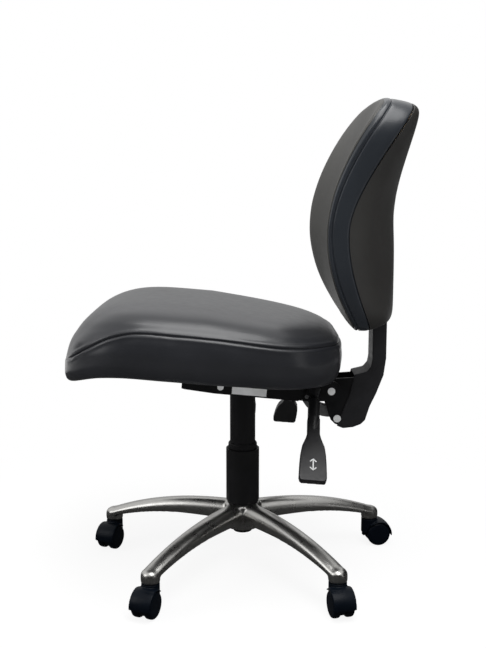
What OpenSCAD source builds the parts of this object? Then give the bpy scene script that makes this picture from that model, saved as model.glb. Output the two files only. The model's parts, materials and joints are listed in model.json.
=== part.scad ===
// Task chair on a five-arm castor base, with a gas lift, a three-lever tilt mechanism,
// a curved back on a J-bar and a thick waterfall seat.
// Millimetres, +Z up, the sitter faces -Y. The origin is on the floor, on the swivel axis.

/* [Base] */
// Distance from the swivel axis to each castor stem
arm_reach = 290; // [260:1:330]
// Height of the arm ends above the floor
castor_h = 59.5; // [59:0.5:75]
// Turn of the base about the swivel axis, in degrees
base_turn = 0.7; // [-36:0.1:36]
// Radius of the hub
hub_r = 36.5; // [34:0.5:44]
// Height of the hub
hub_h = 52; // [46:1:64]
// Rise from the arm ends to the underside of the hub
hub_rise = 18.5; // [14:0.5:30]
// Width of an arm beside the hub
arm_root_w = 49; // [42:0.5:54]
// Diameter of the collar at an arm's end
collar_d = 36; // [30:0.5:42]
// Height of the collar up to its rounded top
collar_h = 14; // [12:0.5:20]
// Height of the rounded top of the collar
collar_dome = 12; // [8:0.5:18]
// Depth of an arm at the swivel axis
arm_root_depth = 41; // [36:0.5:44]
// Depth of an arm at the castor
arm_end_depth = 17; // [14:0.5:22]
// Rise of an arm's crest above its end
arm_rise = 45; // [38:0.5:46]

/* [Castors] */
// Diameter of a castor wheel
wheel_d = 50; // [46:1:60]
// Width of a castor wheel
wheel_w = 15; // [12:0.5:20]
// Distance from the stem to the wheel axle
castor_trail = 17.5; // [16:0.5:24]
// Diameter of the stem
stem_d = 11; // [10:0.5:12]
// Length of the stem above the castor's neck
stem_l = 22; // [18:0.5:26]
// Diameter of the axle
axle_d = 6; // [5:0.5:8]
// Diameter of the neck under the arm
neck_d = 34; // [28:0.5:38]
// Thickness of the web between the wheels
web_w = 10; // [8:0.5:14]
// Thickness of the hood
hood_t = 2.2; // [1.5:0.1:3]

/* [Gas lift] */
// Height of the mechanism above the hub, as set now
seat_rise = 232; // [220:1:252]
// Radius of the tube inside the hub
tube_seat_r = 24.5; // [23:0.5:27]
// Radius of the tube above the hub
tube_r = 22; // [20.5:0.5:23]
// Wall of the tube
tube_wall = 1.5; // [1:0.1:2]
// Length of the tube above the hub
tube_rise = 105; // [98:1:115]
// Radius of the pressure cylinder
cylinder_r = 14; // [12:0.5:15]
// Radius of the piston rod
rod_r = 5; // [4:0.5:6]
// Outer radius of the lower cover
cover_low_r = 33.7; // [32.5:0.1:36]
// Height of the lower cover
cover_low_h = 113; // [108:1:116]
// Outer radius of the middle cover's rim
cover_mid_r = 29.2; // [28.8:0.1:29.5]
// Height of the middle cover's rim above the lower cover
cover_mid_show = 12; // [8:0.5:16]
// Outer radius of the upper cover
cover_up_r = 25.7; // [25.2:0.1:26]
// Length of the upper cover
cover_up_l = 152; // [146:1:156]
// Wall of the covers
cover_wall = 1.7; // [1.2:0.1:2]

/* [Mechanism] */
// Backward lean of the seat at rest, in degrees
seat_lean = 5; // [3:0.5:7]
// Height of the mechanism from its underside to the seat
mech_h = 58; // [55:0.5:64]
// Half width of the housing
housing_hw = 47; // [44:0.5:49]
// Thickness of the steel plates
plate_t = 3; // [2:0.1:3.5]
// Half width of the seat plate's side flanges
flange_hw = 58; // [56:0.5:62]
// Distance from the column forward to the seat pivot
seat_pivot_y = 45; // [42:0.5:50]
// Height of the seat pivot above the underside
seat_pivot_z = 16; // [14:0.5:18]
// Distance from the column back to the back pivot
back_pivot_y = 173.5; // [170:0.5:178]
// Height of the back pivot above the underside
back_pivot_z = 24; // [22:0.5:26]
// Radius of the seat pivot pin
seat_pin_r = 4; // [3.5:0.1:5]
// Radius of the back pivot pin
back_pin_r = 5; // [4:0.1:6]
// Thickness of one lock plate
lock_t = 2; // [1.5:0.1:2.5]
// Radius of the lock bolts
lock_bolt_r = 4; // [3:0.1:4.5]

/* [Levers] */
// Length of a lever from its bend to its tip
lever_l = 214; // [190:1:236]
// Drop of a lever below level, in degrees
lever_drop_angle = 37; // [30:0.5:42]
// Drop of the two levers on the sitter's right, in degrees
right_drop_angle = 40; // [30:0.5:44]
// Forward sweep of a lever, in degrees
lever_sweep_angle = 1; // [0:0.5:3]
// Radius of a lever's steel rod
lever_r = 6; // [5:0.1:6.4]
// Width of a paddle at its tip
paddle_w = 51; // [42:0.5:58]
// Thickness of a paddle
paddle_t = 12; // [10:0.5:14]
// Length of a paddle's blade
paddle_l = 143; // [125:1:160]
// Height of the levers above the underside of the housing
lever_z = 28; // [27:0.5:30]
// Distance of the seat-angle lever behind the column, on the sitter's left
seat_lever_y = 138; // [134:0.5:142]
// Distance of the back-angle lever behind the column, on the sitter's right
back_lever_y = 108; // [104:0.5:112]
// Distance of the height lever behind the column, on the sitter's right
height_lever_y = 15; // [12:0.5:18]

/* [Seat] */
// Width of the seat
seat_w = 520; // [490:1:550]
// Depth of the seat
seat_d = 526; // [515:1:550]
// Reach of the seat behind the column
seat_rear = 183; // [178:1:190]
// Height of the seat's side border
seat_border_h = 83; // [70:1:95]
// Crown of the seat above its seam
seat_crown = 40; // [32:1:54]
// Crown of the seat at its rear edge
seat_rear_crown = 18; // [12:1:38]
// Drop of the seam at the front edge
seat_nose_drop = 48; // [30:1:60]
// Length of the drooping front part
seat_nose_l = 205; // [160:1:240]
// Thickness of the seat board
seat_board_t = 12; // [10:0.5:15]
// Thickness of the cover under the seat
seat_under_t = 2; // [1.5:0.1:3]
// Distance between the two rows of armrest inserts
armrest_span = 370; // [340:1:400]
// Distance between the armrest inserts of one side
armrest_pitch = 70; // [60:1:90]

/* [Back] */
// Width of the back
back_w = 424; // [390:1:450]
// Height of the back
back_h = 431; // [410:1:450]
// Height of the back's lower edge above the back pivot
back_low = 132; // [128:1:136]
// Height of the most forward point above the lower edge
lumbar_h = 183; // [165:1:205]
// Position of the wings' front edge behind the back pivot, at its most forward
wing_y = -33; // [-37:1:-28]
// Radius of the back's curve seen from the side
back_curve_r = 246; // [230:1:290]
// Hollow of the back between its wings
back_hollow = 59; // [50:1:64]
// Thickness of the back in its middle
back_border = 44; // [40:0.5:46]
// Thickness of the inner board of the back
back_board_t = 6; // [5:0.5:7]
// Wall of the rear shell
shell_wall = 4; // [3:0.1:5]
// Radius of the rear shell's upper lean
shell_lean_r = 410; // [370:1:460]
// Width of the J-bar
jbar_w = 50; // [44:0.5:54]
// Thickness of the J-bar
jbar_t = 8; // [6:0.5:9]
// Distance from the back pivot to the middle of the upright J-bar
jbar_y = 95; // [94:0.5:97]
// Travel of the back up the J-bar
height_travel = 60; // [40:5:70]
// Wall of the J-bar cover
boot_wall = 3; // [2:0.1:3.4]

/* [Hidden] */
ARMS = 5;
CASTOR_NODES = [for (i = [1 : ARMS]) each [
    str("castor_", i, "_hood"), str("castor_", i, "_stem_and_axle"),
    str("castor_", i, "_wheel_left"), str("castor_", i, "_wheel_right")]];

$fn = 64;
// Overrun of every cut past the face that it opens
cut = 1;
// Radial clearance of a shaft that turns or slides in a hole
run = 0.05;
// Clearance between seated pieces of one body
seat_gap = 0.03;
// Clearance between faces of different bodies
face_gap = 0.3;

steel_black = [0.09, 0.09, 0.1];
plastic_black = [0.07, 0.07, 0.08];
aluminium = [0.78, 0.78, 0.77];
zinc = [0.66, 0.68, 0.7];
white_plastic = [0.9, 0.9, 0.88];
vinyl = [0.19, 0.19, 0.2];
plywood = [0.7, 0.55, 0.36];

// Heights up the column
hub_z = castor_h + hub_rise;
hub_top = hub_z + hub_h;
mech_z = hub_top + seat_rise;
tube_foot = 10;
tube_foot_r = 19;
tube_floor = 8;
bearing_h = 6;
bearing_z = hub_z + tube_floor;
rod_collar_h = 3;
rod_tip = 1;
clip_t = 1.5;
clip_recess_r = 10;
clip_recess = 4.5;
bush_l = 82;
bush_flange = 3;
// Rise of the cylinder's foot above the rod's collar, as set now, and of the piston above that foot
cylinder_clear = 66;
piston_up = 60;
cylinder_low = bearing_z + bearing_h + rod_collar_h + cylinder_clear;
socket_h = 14;
socket_drop = 8;
socket_wall = 7;
tongue_gap = 0.7;
button_r = 4;
button_h = 5.8;
cylinder_cap = 10;
cylinder_top = mech_z + lever_z - lever_r - button_h - tongue_gap;
cylinder_wall = 1.5;
gland_h = 12;
piston_h = 8;
piston_z = cylinder_low + piston_up;

// Faces of a closed stack of rings of n points, closed by a point at each end
function stack_faces(n, rings) = concat(
    [for (r = [0 : rings - 2], i = [0 : n - 1]) each [
        [r * n + i, r * n + (i + 1) % n, (r + 1) * n + (i + 1) % n],
        [r * n + i, (r + 1) * n + (i + 1) % n, (r + 1) * n + i]]],
    [for (i = [0 : n - 1]) [rings * n, (i + 1) % n, i]],
    [for (i = [0 : n - 1]) [rings * n + 1, (rings - 1) * n + i, (rings - 1) * n + (i + 1) % n]]);

// Point at angle t of a rounded rectangle of half sides a and b; a higher power is squarer
function rounded(a, b, t, power) =
    let (k = pow(pow(abs(cos(t)), power) + pow(abs(sin(t)), power), -1 / power))
    [a * k * cos(t), b * k * sin(t)];

function mix(a, b, share) = a + (b - a) * share;

// Points on an arc about c, from angle a to angle b
function arc(c, r, a, b, steps) =
    [for (i = [0 : steps]) c + r * [cos(mix(a, b, i / steps)), sin(mix(a, b, i / steps))]];

// An outline in (y, z), drawn as a plate from x = -half to x = half
module side_plate(points, half) {
    rotate([90, 0, 90])
        translate([0, 0, -half])
            linear_extrude(2 * half)
                polygon(points);
}

// The mechanism and seat lean back about the column at the height of the housing's underside
module lean() {
    translate([0, 0, mech_z])
        rotate([-seat_lean, 0, 0])
            children();
}

// Where the back pivot lies in the upright frame
pivot_y = back_pivot_y * cos(seat_lean) + back_pivot_z * sin(seat_lean);
pivot_z = mech_z + back_pivot_z * cos(seat_lean) - back_pivot_y * sin(seat_lean);

// The back's pieces are placed from the back pivot
module back_frame() {
    translate([0, pivot_y, pivot_z])
        children();
}

// A rod along X from x = from to x = to
module cross_rod(r, from, to) {
    translate([from, 0, 0])
        rotate([0, 90, 0])
            cylinder(r = r, h = to - from);
}

// Base

cover_seat_gap = 0.4;
arm_end_top = castor_h + collar_h + collar_dome;
arm_flat_share = 0.1;
arm_arch_power = 2.3;
arm_width_power = 0.6;
// Turn from a castor's arm to the gap beside it
half_step_angle = 180 / ARMS;
arm_stations_share = [0.06, 0.16, 0.28, 0.4, 0.52, 0.64, 0.76, 0.88, 0.97];
// Right half of an arm's section from the middle of its trough to its ridge: shares of half width and depth
arm_section_share = [[0, 0.46], [0.56, 0.4], [0.78, 0], [1, 0], [1, 0.4], [0.9, 0.52], [0.74, 0.58],
    [0.62, 0.72], [0.46, 0.9], [0.22, 0.98], [0, 1]];

function arm_turn(i) = base_turn + (2 * i - 1) * half_step_angle;
function arm_top(s) = arm_end_top
    + arm_rise * (1 - pow(max(0, (s - arm_flat_share) / (1 - arm_flat_share)), arm_arch_power));
function arm_depth(s) = mix(arm_root_depth, arm_end_depth, s);
function arm_half(s) = mix(arm_root_w, collar_d, pow(s, arm_width_power)) / 2;
function arm_ring(s) = let (
    right = [for (p = arm_section_share)
        [arm_reach * s, p[0] * arm_half(s), arm_top(s) - arm_depth(s) * (1 - p[1])]],
    last = len(right) - 1,
    left = [for (i = [last - 1 : -1 : 1]) [right[i][0], -right[i][1], right[i][2]]])
    concat(right, left);

module arm() {
    rings = [for (s = arm_stations_share) arm_ring(s)];
    n = len(rings[0]);
    m = len(rings);
    points = [for (ring = rings) each ring];
    sides = [for (r = [0 : m - 2], i = [0 : n - 1]) each [
        [r * n + i, (r + 1) * n + (i + 1) % n, r * n + (i + 1) % n],
        [r * n + i, (r + 1) * n + i, (r + 1) * n + (i + 1) % n]]];
    polyhedron(points, concat(sides,
        [[for (i = [0 : n - 1]) i]],
        [[for (i = [n - 1 : -1 : 0]) (m - 1) * n + i]]));
}

module collar() {
    translate([arm_reach, 0, castor_h])
        rotate_extrude()
            polygon(concat([[0, 0], [collar_d / 2, 0]],
                [for (a = [0 : 15 : 75]) [collar_d / 2 * cos(a), collar_h + collar_dome * sin(a)]],
                [[0, collar_h + collar_dome]]));
}

module place_arm(i) {
    rotate([0, 0, arm_turn(i)])
        children();
}

module base_star() {
    color(aluminium)
        difference() {
            union() {
                translate([0, 0, hub_z])
                    cylinder(r = hub_r, h = hub_h);
                for (i = [0 : ARMS - 1])
                    place_arm(i) {
                        arm();
                        collar();
                    }
            }
            translate([0, 0, castor_h])
                cylinder(r = tube_seat_r + seat_gap, h = hub_h + 2 * hub_rise);
            translate([0, 0, hub_z + hub_h])
                cylinder(r = cover_low_r + cover_seat_gap, h = arm_rise);
            for (i = [0 : ARMS - 1])
                place_arm(i)
                    translate([arm_reach, 0, castor_h - cut])
                        cylinder(d = stem_d + 2 * run, h = stem_l + 2 * cut);
        }
}

// Castors

// Turn of each castor's trail from +X, in degrees
CASTOR_TURNS = [-22, 13, 100, 180, -24];
wheel_r = wheel_d / 2;
wheel_side_gap = 0.5;
wheel_top_gap = 1;
hood_overhang = 0.8;
neck_sink = 3;
web_clear = 4;
axle_inset = 2;
wheel_hub_t = 3;
hood_in_r = wheel_r + wheel_top_gap;
hood_r = hood_in_r + hood_t;
hood_hw = web_w / 2 + wheel_side_gap + wheel_w + hood_overhang;
neck_low = wheel_r + neck_sink;
web_r = wheel_r - web_clear;
hood_from_angle = -6;
hood_to_angle = 132;
hood_crown = 1.8;
hood_steps = 6;
neck_top = castor_h - face_gap;
axle_l = web_w + 2 * (wheel_side_gap + wheel_w - axle_inset);
stem_in_hood_share = 0.5;

// Places a castor's own frame: its stem at the origin, its trail along +X
module place_castor(i) {
    place_arm(i)
        translate([arm_reach, 0, 0])
            rotate([0, 0, CASTOR_TURNS[i] - arm_turn(i)])
                children();
}

module at_axle() {
    translate([castor_trail, 0, wheel_r])
        rotate([90, 0, 0])
            children();
}

module castor_hood(i) {
    color(plastic_black)
        place_castor(i)
            difference() {
                union() {
                    at_axle()
                        rotate([0, 0, hood_from_angle])
                            rotate_extrude(angle = hood_to_angle - hood_from_angle)
                                polygon(concat([[hood_in_r, hood_hw], [hood_in_r, -hood_hw]],
                                    [for (k = [-hood_steps : hood_steps]) let (t = k / hood_steps)
                                        [hood_r + hood_crown * (1 - t * t), hood_hw * t]]));
                    at_axle()
                        translate([0, 0, -web_w / 2])
                            cylinder(r = web_r, h = web_w);
                    at_axle()
                        translate([0, 0, -web_w / 2])
                            rotate([0, 0, hood_from_angle])
                                rotate_extrude(angle = hood_to_angle - hood_from_angle)
                                    translate([web_r / 2, 0])
                                        square([hood_in_r + hood_t / 2 - web_r / 2, web_w]);
                    difference() {
                        translate([0, 0, neck_low])
                            cylinder(d = neck_d, h = neck_top - neck_low);
                        at_axle()
                            translate([0, 0, -neck_d])
                                cylinder(r = hood_in_r, h = 2 * neck_d);
                    }
                    translate([-neck_d / 2 + hood_t, -web_w / 2, wheel_r - web_w / 2])
                        cube([castor_trail, web_w, neck_top - wheel_r - web_w / 2]);
                }
                at_axle()
                    translate([0, 0, -hood_hw - cut])
                        cylinder(d = axle_d + 2 * seat_gap, h = 2 * (hood_hw + cut));
                translate([0, 0, neck_top - stem_l * stem_in_hood_share])
                    cylinder(d = stem_d + 2 * seat_gap, h = stem_l);
            }
}

module castor_stem_and_axle(i) {
    color(zinc)
        place_castor(i) {
            translate([0, 0, neck_top - stem_l * stem_in_hood_share])
                cylinder(d = stem_d, h = stem_l * (1 + stem_in_hood_share));
            at_axle()
                translate([0, 0, -axle_l / 2])
                    cylinder(d = axle_d, h = axle_l);
        }
}

// A wheel from its inner face outwards: hub, dished face and rounded tread
module castor_wheel(i, side) {
    inner = web_w / 2 + wheel_side_gap;
    edge = wheel_w * 0.18;
    dish = wheel_w * 0.12;
    rim = wheel_r * 0.84;
    hub = axle_d / 2 + wheel_hub_t;
    face = wheel_w * 0.4;
    color(plastic_black)
        place_castor(i)
            at_axle()
                scale([1, 1, side])
                    translate([0, 0, inner])
                        rotate_extrude()
                            polygon([
                                [axle_d / 2 + run, 0], [hub, 0], [hub, face], [rim - edge, face],
                                [rim - edge, 0], [wheel_r - edge, 0], [wheel_r, edge],
                                [wheel_r, wheel_w - edge], [wheel_r - edge, wheel_w], [rim, wheel_w],
                                [rim - dish, wheel_w - dish],
                                [axle_d / 2 + run, wheel_w - dish]]);
}

// Gas lift

module gas_outer_tube() {
    color(steel_black)
        difference() {
            union() {
                translate([0, 0, hub_z - tube_foot])
                    cylinder(r = tube_foot_r, h = tube_foot + cut);
                translate([0, 0, hub_z])
                    cylinder(r = tube_seat_r, h = hub_h);
                translate([0, 0, hub_top - cut])
                    cylinder(r = tube_r, h = tube_rise + cut);
            }
            translate([0, 0, bearing_z])
                cylinder(r = tube_r - tube_wall, h = hub_h + tube_rise);
            translate([0, 0, hub_z - tube_foot - cut])
                cylinder(r = rod_r + run, h = tube_foot + tube_floor + 2 * cut);
            translate([0, 0, hub_z - tube_foot - cut])
                cylinder(r = clip_recess_r, h = clip_recess + cut);
        }
}

module guide_bush() {
    bore = cylinder_r + run;
    low = hub_top + tube_rise - bush_l;
    color(white_plastic)
        rotate_extrude()
            polygon([[bore, low], [tube_r - tube_wall - seat_gap, low],
                [tube_r - tube_wall - seat_gap, hub_top + tube_rise], [tube_r, hub_top + tube_rise],
                [tube_r, hub_top + tube_rise + bush_flange], [bore, hub_top + tube_rise + bush_flange]]);
}

module thrust_bearing() {
    bearing_r = tube_r - tube_wall - cut;
    color(zinc)
        translate([0, 0, bearing_z])
            difference() {
                cylinder(r = bearing_r, h = bearing_h - face_gap / 2);
                translate([0, 0, -cut])
                    cylinder(r = rod_r + run, h = bearing_h + 2 * cut);
                translate([0, 0, bearing_h / 2])
                    rotate_extrude()
                        translate([bearing_r, -bearing_h / 8])
                            square([bearing_r / 5, bearing_h / 4], center = true);
            }
}

module piston_rod() {
    color(zinc) {
        translate([0, 0, hub_z - tube_foot + rod_tip])
            cylinder(r = rod_r, h = piston_z - hub_z + tube_foot - rod_tip + cut);
        translate([0, 0, bearing_z + bearing_h])
            cylinder(r = rod_r * 1.6, h = rod_collar_h);
        translate([0, 0, piston_z])
            cylinder(r = cylinder_r - cylinder_wall - run, h = piston_h);
    }
}

module retaining_clip() {
    clip_z = hub_z - tube_foot + clip_recess - clip_t - face_gap / 2;
    color(zinc)
        translate([0, 0, clip_z])
            difference() {
                cylinder(r = clip_recess_r - cut, h = clip_t);
                translate([0, 0, -cut])
                    cylinder(r = rod_r + seat_gap, h = clip_t + 2 * cut);
                translate([rod_r / 2, -rod_r / 2, -cut])
                    cube([clip_recess_r, rod_r, clip_t + 2 * cut]);
            }
}

module gas_cylinder() {
    color(steel_black)
        difference() {
            translate([0, 0, cylinder_low])
                cylinder(r = cylinder_r, h = cylinder_top - cylinder_low);
            translate([0, 0, cylinder_low + gland_h])
                cylinder(r = cylinder_r - cylinder_wall,
                    h = cylinder_top - cylinder_low - gland_h - cylinder_cap);
            translate([0, 0, cylinder_low - cut])
                cylinder(r = rod_r + run, h = gland_h + 2 * cut);
            translate([0, 0, cylinder_top - cylinder_cap - cut])
                cylinder(r = button_r + run, h = cylinder_cap + 2 * cut);
        }
}

module valve_button() {
    color(white_plastic)
        translate([0, 0, cylinder_top - cylinder_cap / 2])
            cylinder(r = button_r, h = cylinder_cap / 2 + button_h);
}

cover_foot = 6;
cover_lip = 2;
mid_rim_step = 0.8;
cover_mid_wall = 2.2;
mid_tube_r = cover_mid_r - mid_rim_step;
lip_r = cover_mid_r + face_gap;

module cover_lower() {
    inner = cover_low_r - cover_wall;
    top = hub_top + cover_low_h;
    color(plastic_black)
        rotate_extrude()
            polygon([[inner - cover_lip, hub_top], [cover_low_r - cover_lip, hub_top],
                [cover_low_r, hub_top + cover_foot], [cover_low_r, top], [lip_r, top],
                [lip_r, top - cover_lip], [inner, top - cover_lip], [inner, hub_top + cover_foot]]);
}

cover_mid_l = 102;

module cover_middle() {
    top = hub_top + cover_low_h + cover_mid_show;
    low = hub_top + cover_low_h + face_gap;
    inner = mid_tube_r - cover_mid_wall;
    color(plastic_black)
        rotate_extrude()
            polygon([[inner, top - cover_mid_l], [mid_tube_r, top - cover_mid_l], [mid_tube_r, low],
                [cover_mid_r, low], [cover_mid_r, top - cover_lip], [cover_mid_r - cover_lip / 2, top],
                [inner, top]]);
}

module cover_upper() {
    inner = cover_up_r - cover_wall;
    flange = 8;
    color(plastic_black)
        difference() {
            translate([0, 0, mech_z - cover_up_l])
                cylinder(r = cover_up_r, h = cover_up_l + flange);
            translate([0, 0, mech_z - cover_up_l - cut])
                cylinder(r = inner, h = cover_up_l - socket_drop - cover_wall + cut);
            translate([0, 0, mech_z - socket_drop - seat_gap])
                cylinder(r = inner, h = socket_drop + 2 * flange);
            translate([0, 0, mech_z - 2 * flange])
                cylinder(r = cylinder_r + seat_gap, h = 2 * flange);
            lean()
                translate([-2 * cover_up_r, -2 * cover_up_r, -seat_gap])
                    cube([4 * cover_up_r, 4 * cover_up_r, 4 * flange]);
        }
}

// Mechanism

housing_nose = 16;
housing_clear = 9;
housing_front = seat_pivot_y + housing_nose;
housing_top = mech_h - plate_t - housing_clear;
lug_from_angle = -75;
back_lug_r = 20;
sector_r = 50;
sector_hw = 11;
back_lock_angle = -162;
back_lock_y = back_pivot_y + sector_r * cos(back_lock_angle);
back_lock_z = back_pivot_z + sector_r * sin(back_lock_angle);
seat_lock_y = 88;
seat_lock_z = 27;
LOCK_BOLTS = [[back_lock_y, back_lock_z], [seat_lock_y, seat_lock_z]];
lever_play = 0.7;
lock_play = 0.5;
lever_hole_r = lever_r + lever_play;
lock_slot_hw = lock_bolt_r + lock_play;

floor_gap = 14;
floor_rear = back_lock_y - sector_hw - floor_gap;

module housing_side() {
    side_plate(concat([
        [-housing_front, plate_t], [-housing_front + plate_t, 0], [back_lock_y + sector_hw, 0]],
        arc([back_pivot_y, back_pivot_z], back_lug_r, lug_from_angle, 90, 12),
        [[back_pivot_y - 2 * back_lug_r, housing_top], [-seat_pivot_y + sector_hw, housing_top]],
        arc([-seat_pivot_y, seat_pivot_z], housing_front - seat_pivot_y, 90, 180, 6)), plate_t / 2);
}

module mechanism_housing() {
    color(steel_black)
        difference() {
            union() {
                lean() {
                    for (side = [-1, 1])
                        translate([side * (housing_hw - plate_t / 2), 0, 0])
                            housing_side();
                    translate([-housing_hw, -housing_front + plate_t, 0])
                        cube([2 * housing_hw, housing_front - plate_t + floor_rear, plate_t]);
                    translate([-housing_hw, -housing_front, plate_t / 2])
                        cube([2 * housing_hw, plate_t, seat_pivot_z]);
                }
                translate([0, 0, mech_z - socket_drop])
                    cylinder(r = cylinder_r + socket_wall, h = socket_drop + socket_h);
            }
            translate([0, 0, mech_z - socket_h])
                cylinder(r = cylinder_r + seat_gap, h = 3 * socket_h);
            lean() {
                translate([0, -seat_pivot_y, seat_pivot_z])
                    cross_rod(seat_pin_r + seat_gap, -housing_hw - cut, housing_hw + cut);
                translate([0, back_pivot_y, back_pivot_z])
                    cross_rod(back_pin_r + seat_gap, -housing_hw - cut, housing_hw + cut);
                for (bolt = LOCK_BOLTS)
                    translate([0, bolt[0], bolt[1]])
                        cross_rod(lock_bolt_r + seat_gap, -housing_hw - cut, housing_hw + cut);
                translate([0, seat_lever_y, lever_z])
                    cross_rod(lever_hole_r, housing_hw - plate_t - cut, housing_hw + cut);
                for (y = [height_lever_y, back_lever_y])
                    translate([0, y, lever_z])
                        cross_rod(lever_hole_r, -housing_hw - cut, -housing_hw + plate_t + cut);
                translate([seat_lock_x - 2 * lock_t, seat_lock_y - 2 * sector_hw, -cut])
                    cube([6 * lock_t, 4 * sector_hw, plate_t + 2 * cut]);
            }
        }
}

seat_cap_r = 5.8;
back_cap_r = 7.4;
cap_t = 2;

// White bushes in the seat plate's flanges, closed outside, that turn on the pin
module seat_pivot_caps() {
    color(white_plastic)
        lean()
            translate([0, -seat_pivot_y, seat_pivot_z])
                for (side = [-1, 1])
                    scale([side, 1, 1])
                        difference() {
                            union() {
                                cross_rod(seat_cap_r - seat_gap, flange_hw - plate_t, flange_hw);
                                cross_rod(seat_cap_r + cap_t / 4, flange_hw, flange_hw + cap_t);
                            }
                            cross_rod(seat_pin_r + run, flange_hw - plate_t - cut, flange_hw + cap_t / 2);
                        }
}

module pivot_pins() {
    color(zinc)
        lean() {
            translate([0, -seat_pivot_y, seat_pivot_z])
                cross_rod(seat_pin_r, -flange_hw - cap_t / 4, flange_hw + cap_t / 4);
            translate([0, back_pivot_y, back_pivot_z])
                cross_rod(back_pin_r, -housing_hw - cap_t / 2, housing_hw + cap_t / 2);
        }
}

module back_pivot_caps() {
    color(white_plastic)
        lean()
            translate([0, back_pivot_y, back_pivot_z])
                for (side = [-1, 1])
                    scale([side, 1, 1])
                        difference() {
                            cross_rod(back_cap_r, housing_hw, housing_hw + cap_t);
                            cross_rod(back_pin_r + seat_gap, housing_hw - cut, housing_hw + cap_t / 2);
                        }
}

module lock_bolts() {
    head = 5;
    color(zinc)
        lean()
            for (bolt = LOCK_BOLTS)
                translate([0, bolt[0], bolt[1]]) {
                    cross_rod(lock_bolt_r, -housing_hw - head, housing_hw + cut / 2);
                    rotate([0, 90, 0])
                        translate([0, 0, -housing_hw - head])
                            cylinder(r = lock_bolt_r * 1.7, h = head, $fn = 6);
                }
}

// Plate bolts: two rows across the chair
bolt_dx = 150;
bolt_front = -92;
bolt_rear = 84;
bolt_r = 3;
plate_hw = 95;
plate_front = 121;
plate_rear = 118;
flange_low = 1;
notch_hw = 11;
notch_rise = 12;
notch_top = lever_z + notch_rise;

module at_seat_bolts() {
    for (x = [-bolt_dx / 2, bolt_dx / 2], y = [bolt_front, bolt_rear])
        translate([x, y, 0])
            children();
}

module seat_plate() {
    color(steel_black)
        lean()
            difference() {
                union() {
                    translate([-plate_hw, -plate_front, mech_h - plate_t])
                        cube([2 * plate_hw, plate_front + plate_rear, plate_t]);
                    for (side = [-1, 1])
                        translate([side * (flange_hw - plate_t / 2), 0, 0])
                            side_plate([[-plate_front, mech_h - plate_t / 2],
                                [-plate_front, flange_low + 2 * plate_t],
                                [-plate_front + 2 * plate_t, flange_low + 1.5 * plate_t],
                                [-seat_pivot_y - 4 * plate_t, flange_low + plate_t / 3],
                                [plate_rear - 3 * plate_t, flange_low],
                                [plate_rear, flange_low + 3 * plate_t],
                                [plate_rear, mech_h - plate_t / 2]], plate_t / 2);
                }
                translate([0, -seat_pivot_y, seat_pivot_z])
                    cross_rod(seat_cap_r, -flange_hw - cut, flange_hw + cut);
                for (y = [height_lever_y, back_lever_y])
                    translate([-flange_hw - cut, y - notch_hw, 0])
                        cube([plate_t + 2 * cut, 2 * notch_hw, notch_top]);
                at_seat_bolts()
                    translate([0, 0, mech_h - plate_t - cut])
                        cylinder(r = bolt_r + seat_gap, h = plate_t + 2 * cut);
            }
}

// Stack of plates with a slot along an arc about c, clamped by a lock bolt
module arc_plate(c, r, from, to, slot_from, slot_to) {
    difference() {
        side_plate(concat(arc(c, r + sector_hw, from, to, 12),
            arc(c, r - sector_hw, to, from, 12)), lock_t / 2);
        side_plate(concat(arc(c, r + lock_slot_hw, slot_from, slot_to, 12),
            arc(c, r - lock_slot_hw, slot_to, slot_from, 12)), lock_t);
    }
}

lock_plate_x = 10;
// Where the lock plates are pinned to the bracket, from the back pivot
lock_pin_angle = -72;
back_lock_end_angle = 20;
back_slot_low_angle = 12;
back_slot_high_angle = 22;
lock_pin_r = 61;
lock_rod_r = 4;

module back_lock_plates() {
    color(zinc)
        lean()
            for (x = [-lock_plate_x, 0, lock_plate_x])
                translate([x, 0, 0]) {
                    difference() {
                        union() {
                            arc_plate([back_pivot_y, back_pivot_z], sector_r,
                                back_lock_angle - back_lock_end_angle, lock_pin_angle,
                                back_lock_angle - back_slot_low_angle,
                                back_lock_angle + back_slot_high_angle);
                            at_lock_pin()
                                cross_rod(sector_hw, -lock_t / 2, lock_t / 2);
                        }
                        at_lock_pin()
                            cross_rod(lock_rod_r + seat_gap, -lock_t, lock_t);
                    }
                }
}

module at_lock_pin() {
    translate([0, back_pivot_y + lock_pin_r * cos(lock_pin_angle),
        back_pivot_z + lock_pin_r * sin(lock_pin_angle)])
        children();
}

// Pin that ties the lock plates to the bracket, with a flush cap at each end
module back_lock_pin() {
    color(white_plastic)
        lean()
            at_lock_pin() {
                cross_rod(lock_rod_r, -bracket_hw, bracket_hw);
                for (side = [-1, 1])
                    scale([side, 1, 1])
                        cross_rod(back_cap_r, bracket_hw + seat_gap, bracket_hw + boot_wall);
            }
}

seat_lock_x = 33;
seat_sector_r = norm([seat_lock_y + seat_pivot_y, seat_lock_z - seat_pivot_z]);
seat_lock_angle = atan2(seat_lock_z - seat_pivot_z, seat_lock_y + seat_pivot_y);
seat_lock_low_angle = 13;
seat_lock_high_angle = 6;
seat_slot_low_angle = 11;
seat_slot_high_angle = 3;

module seat_lock_plates() {
    color(zinc)
        lean()
            for (x = [seat_lock_x, seat_lock_x + lock_t * 2])
                translate([x, 0, 0]) {
                    arc_plate([-seat_pivot_y, seat_pivot_z], seat_sector_r,
                        seat_lock_angle - seat_lock_low_angle, seat_lock_angle + seat_lock_high_angle,
                        seat_lock_angle - seat_slot_low_angle, seat_lock_angle + seat_slot_high_angle);
                    side_plate([
                        [seat_lock_y - sector_hw, seat_lock_z + sector_hw],
                        [seat_lock_y + sector_hw - lock_t, seat_lock_z + sector_hw - 1.5 * lock_t],
                        [seat_lock_y + sector_hw - lock_t, mech_h - plate_t - seat_gap],
                        [seat_lock_y - sector_hw, mech_h - plate_t - seat_gap]], lock_t / 2);
                }
}

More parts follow.
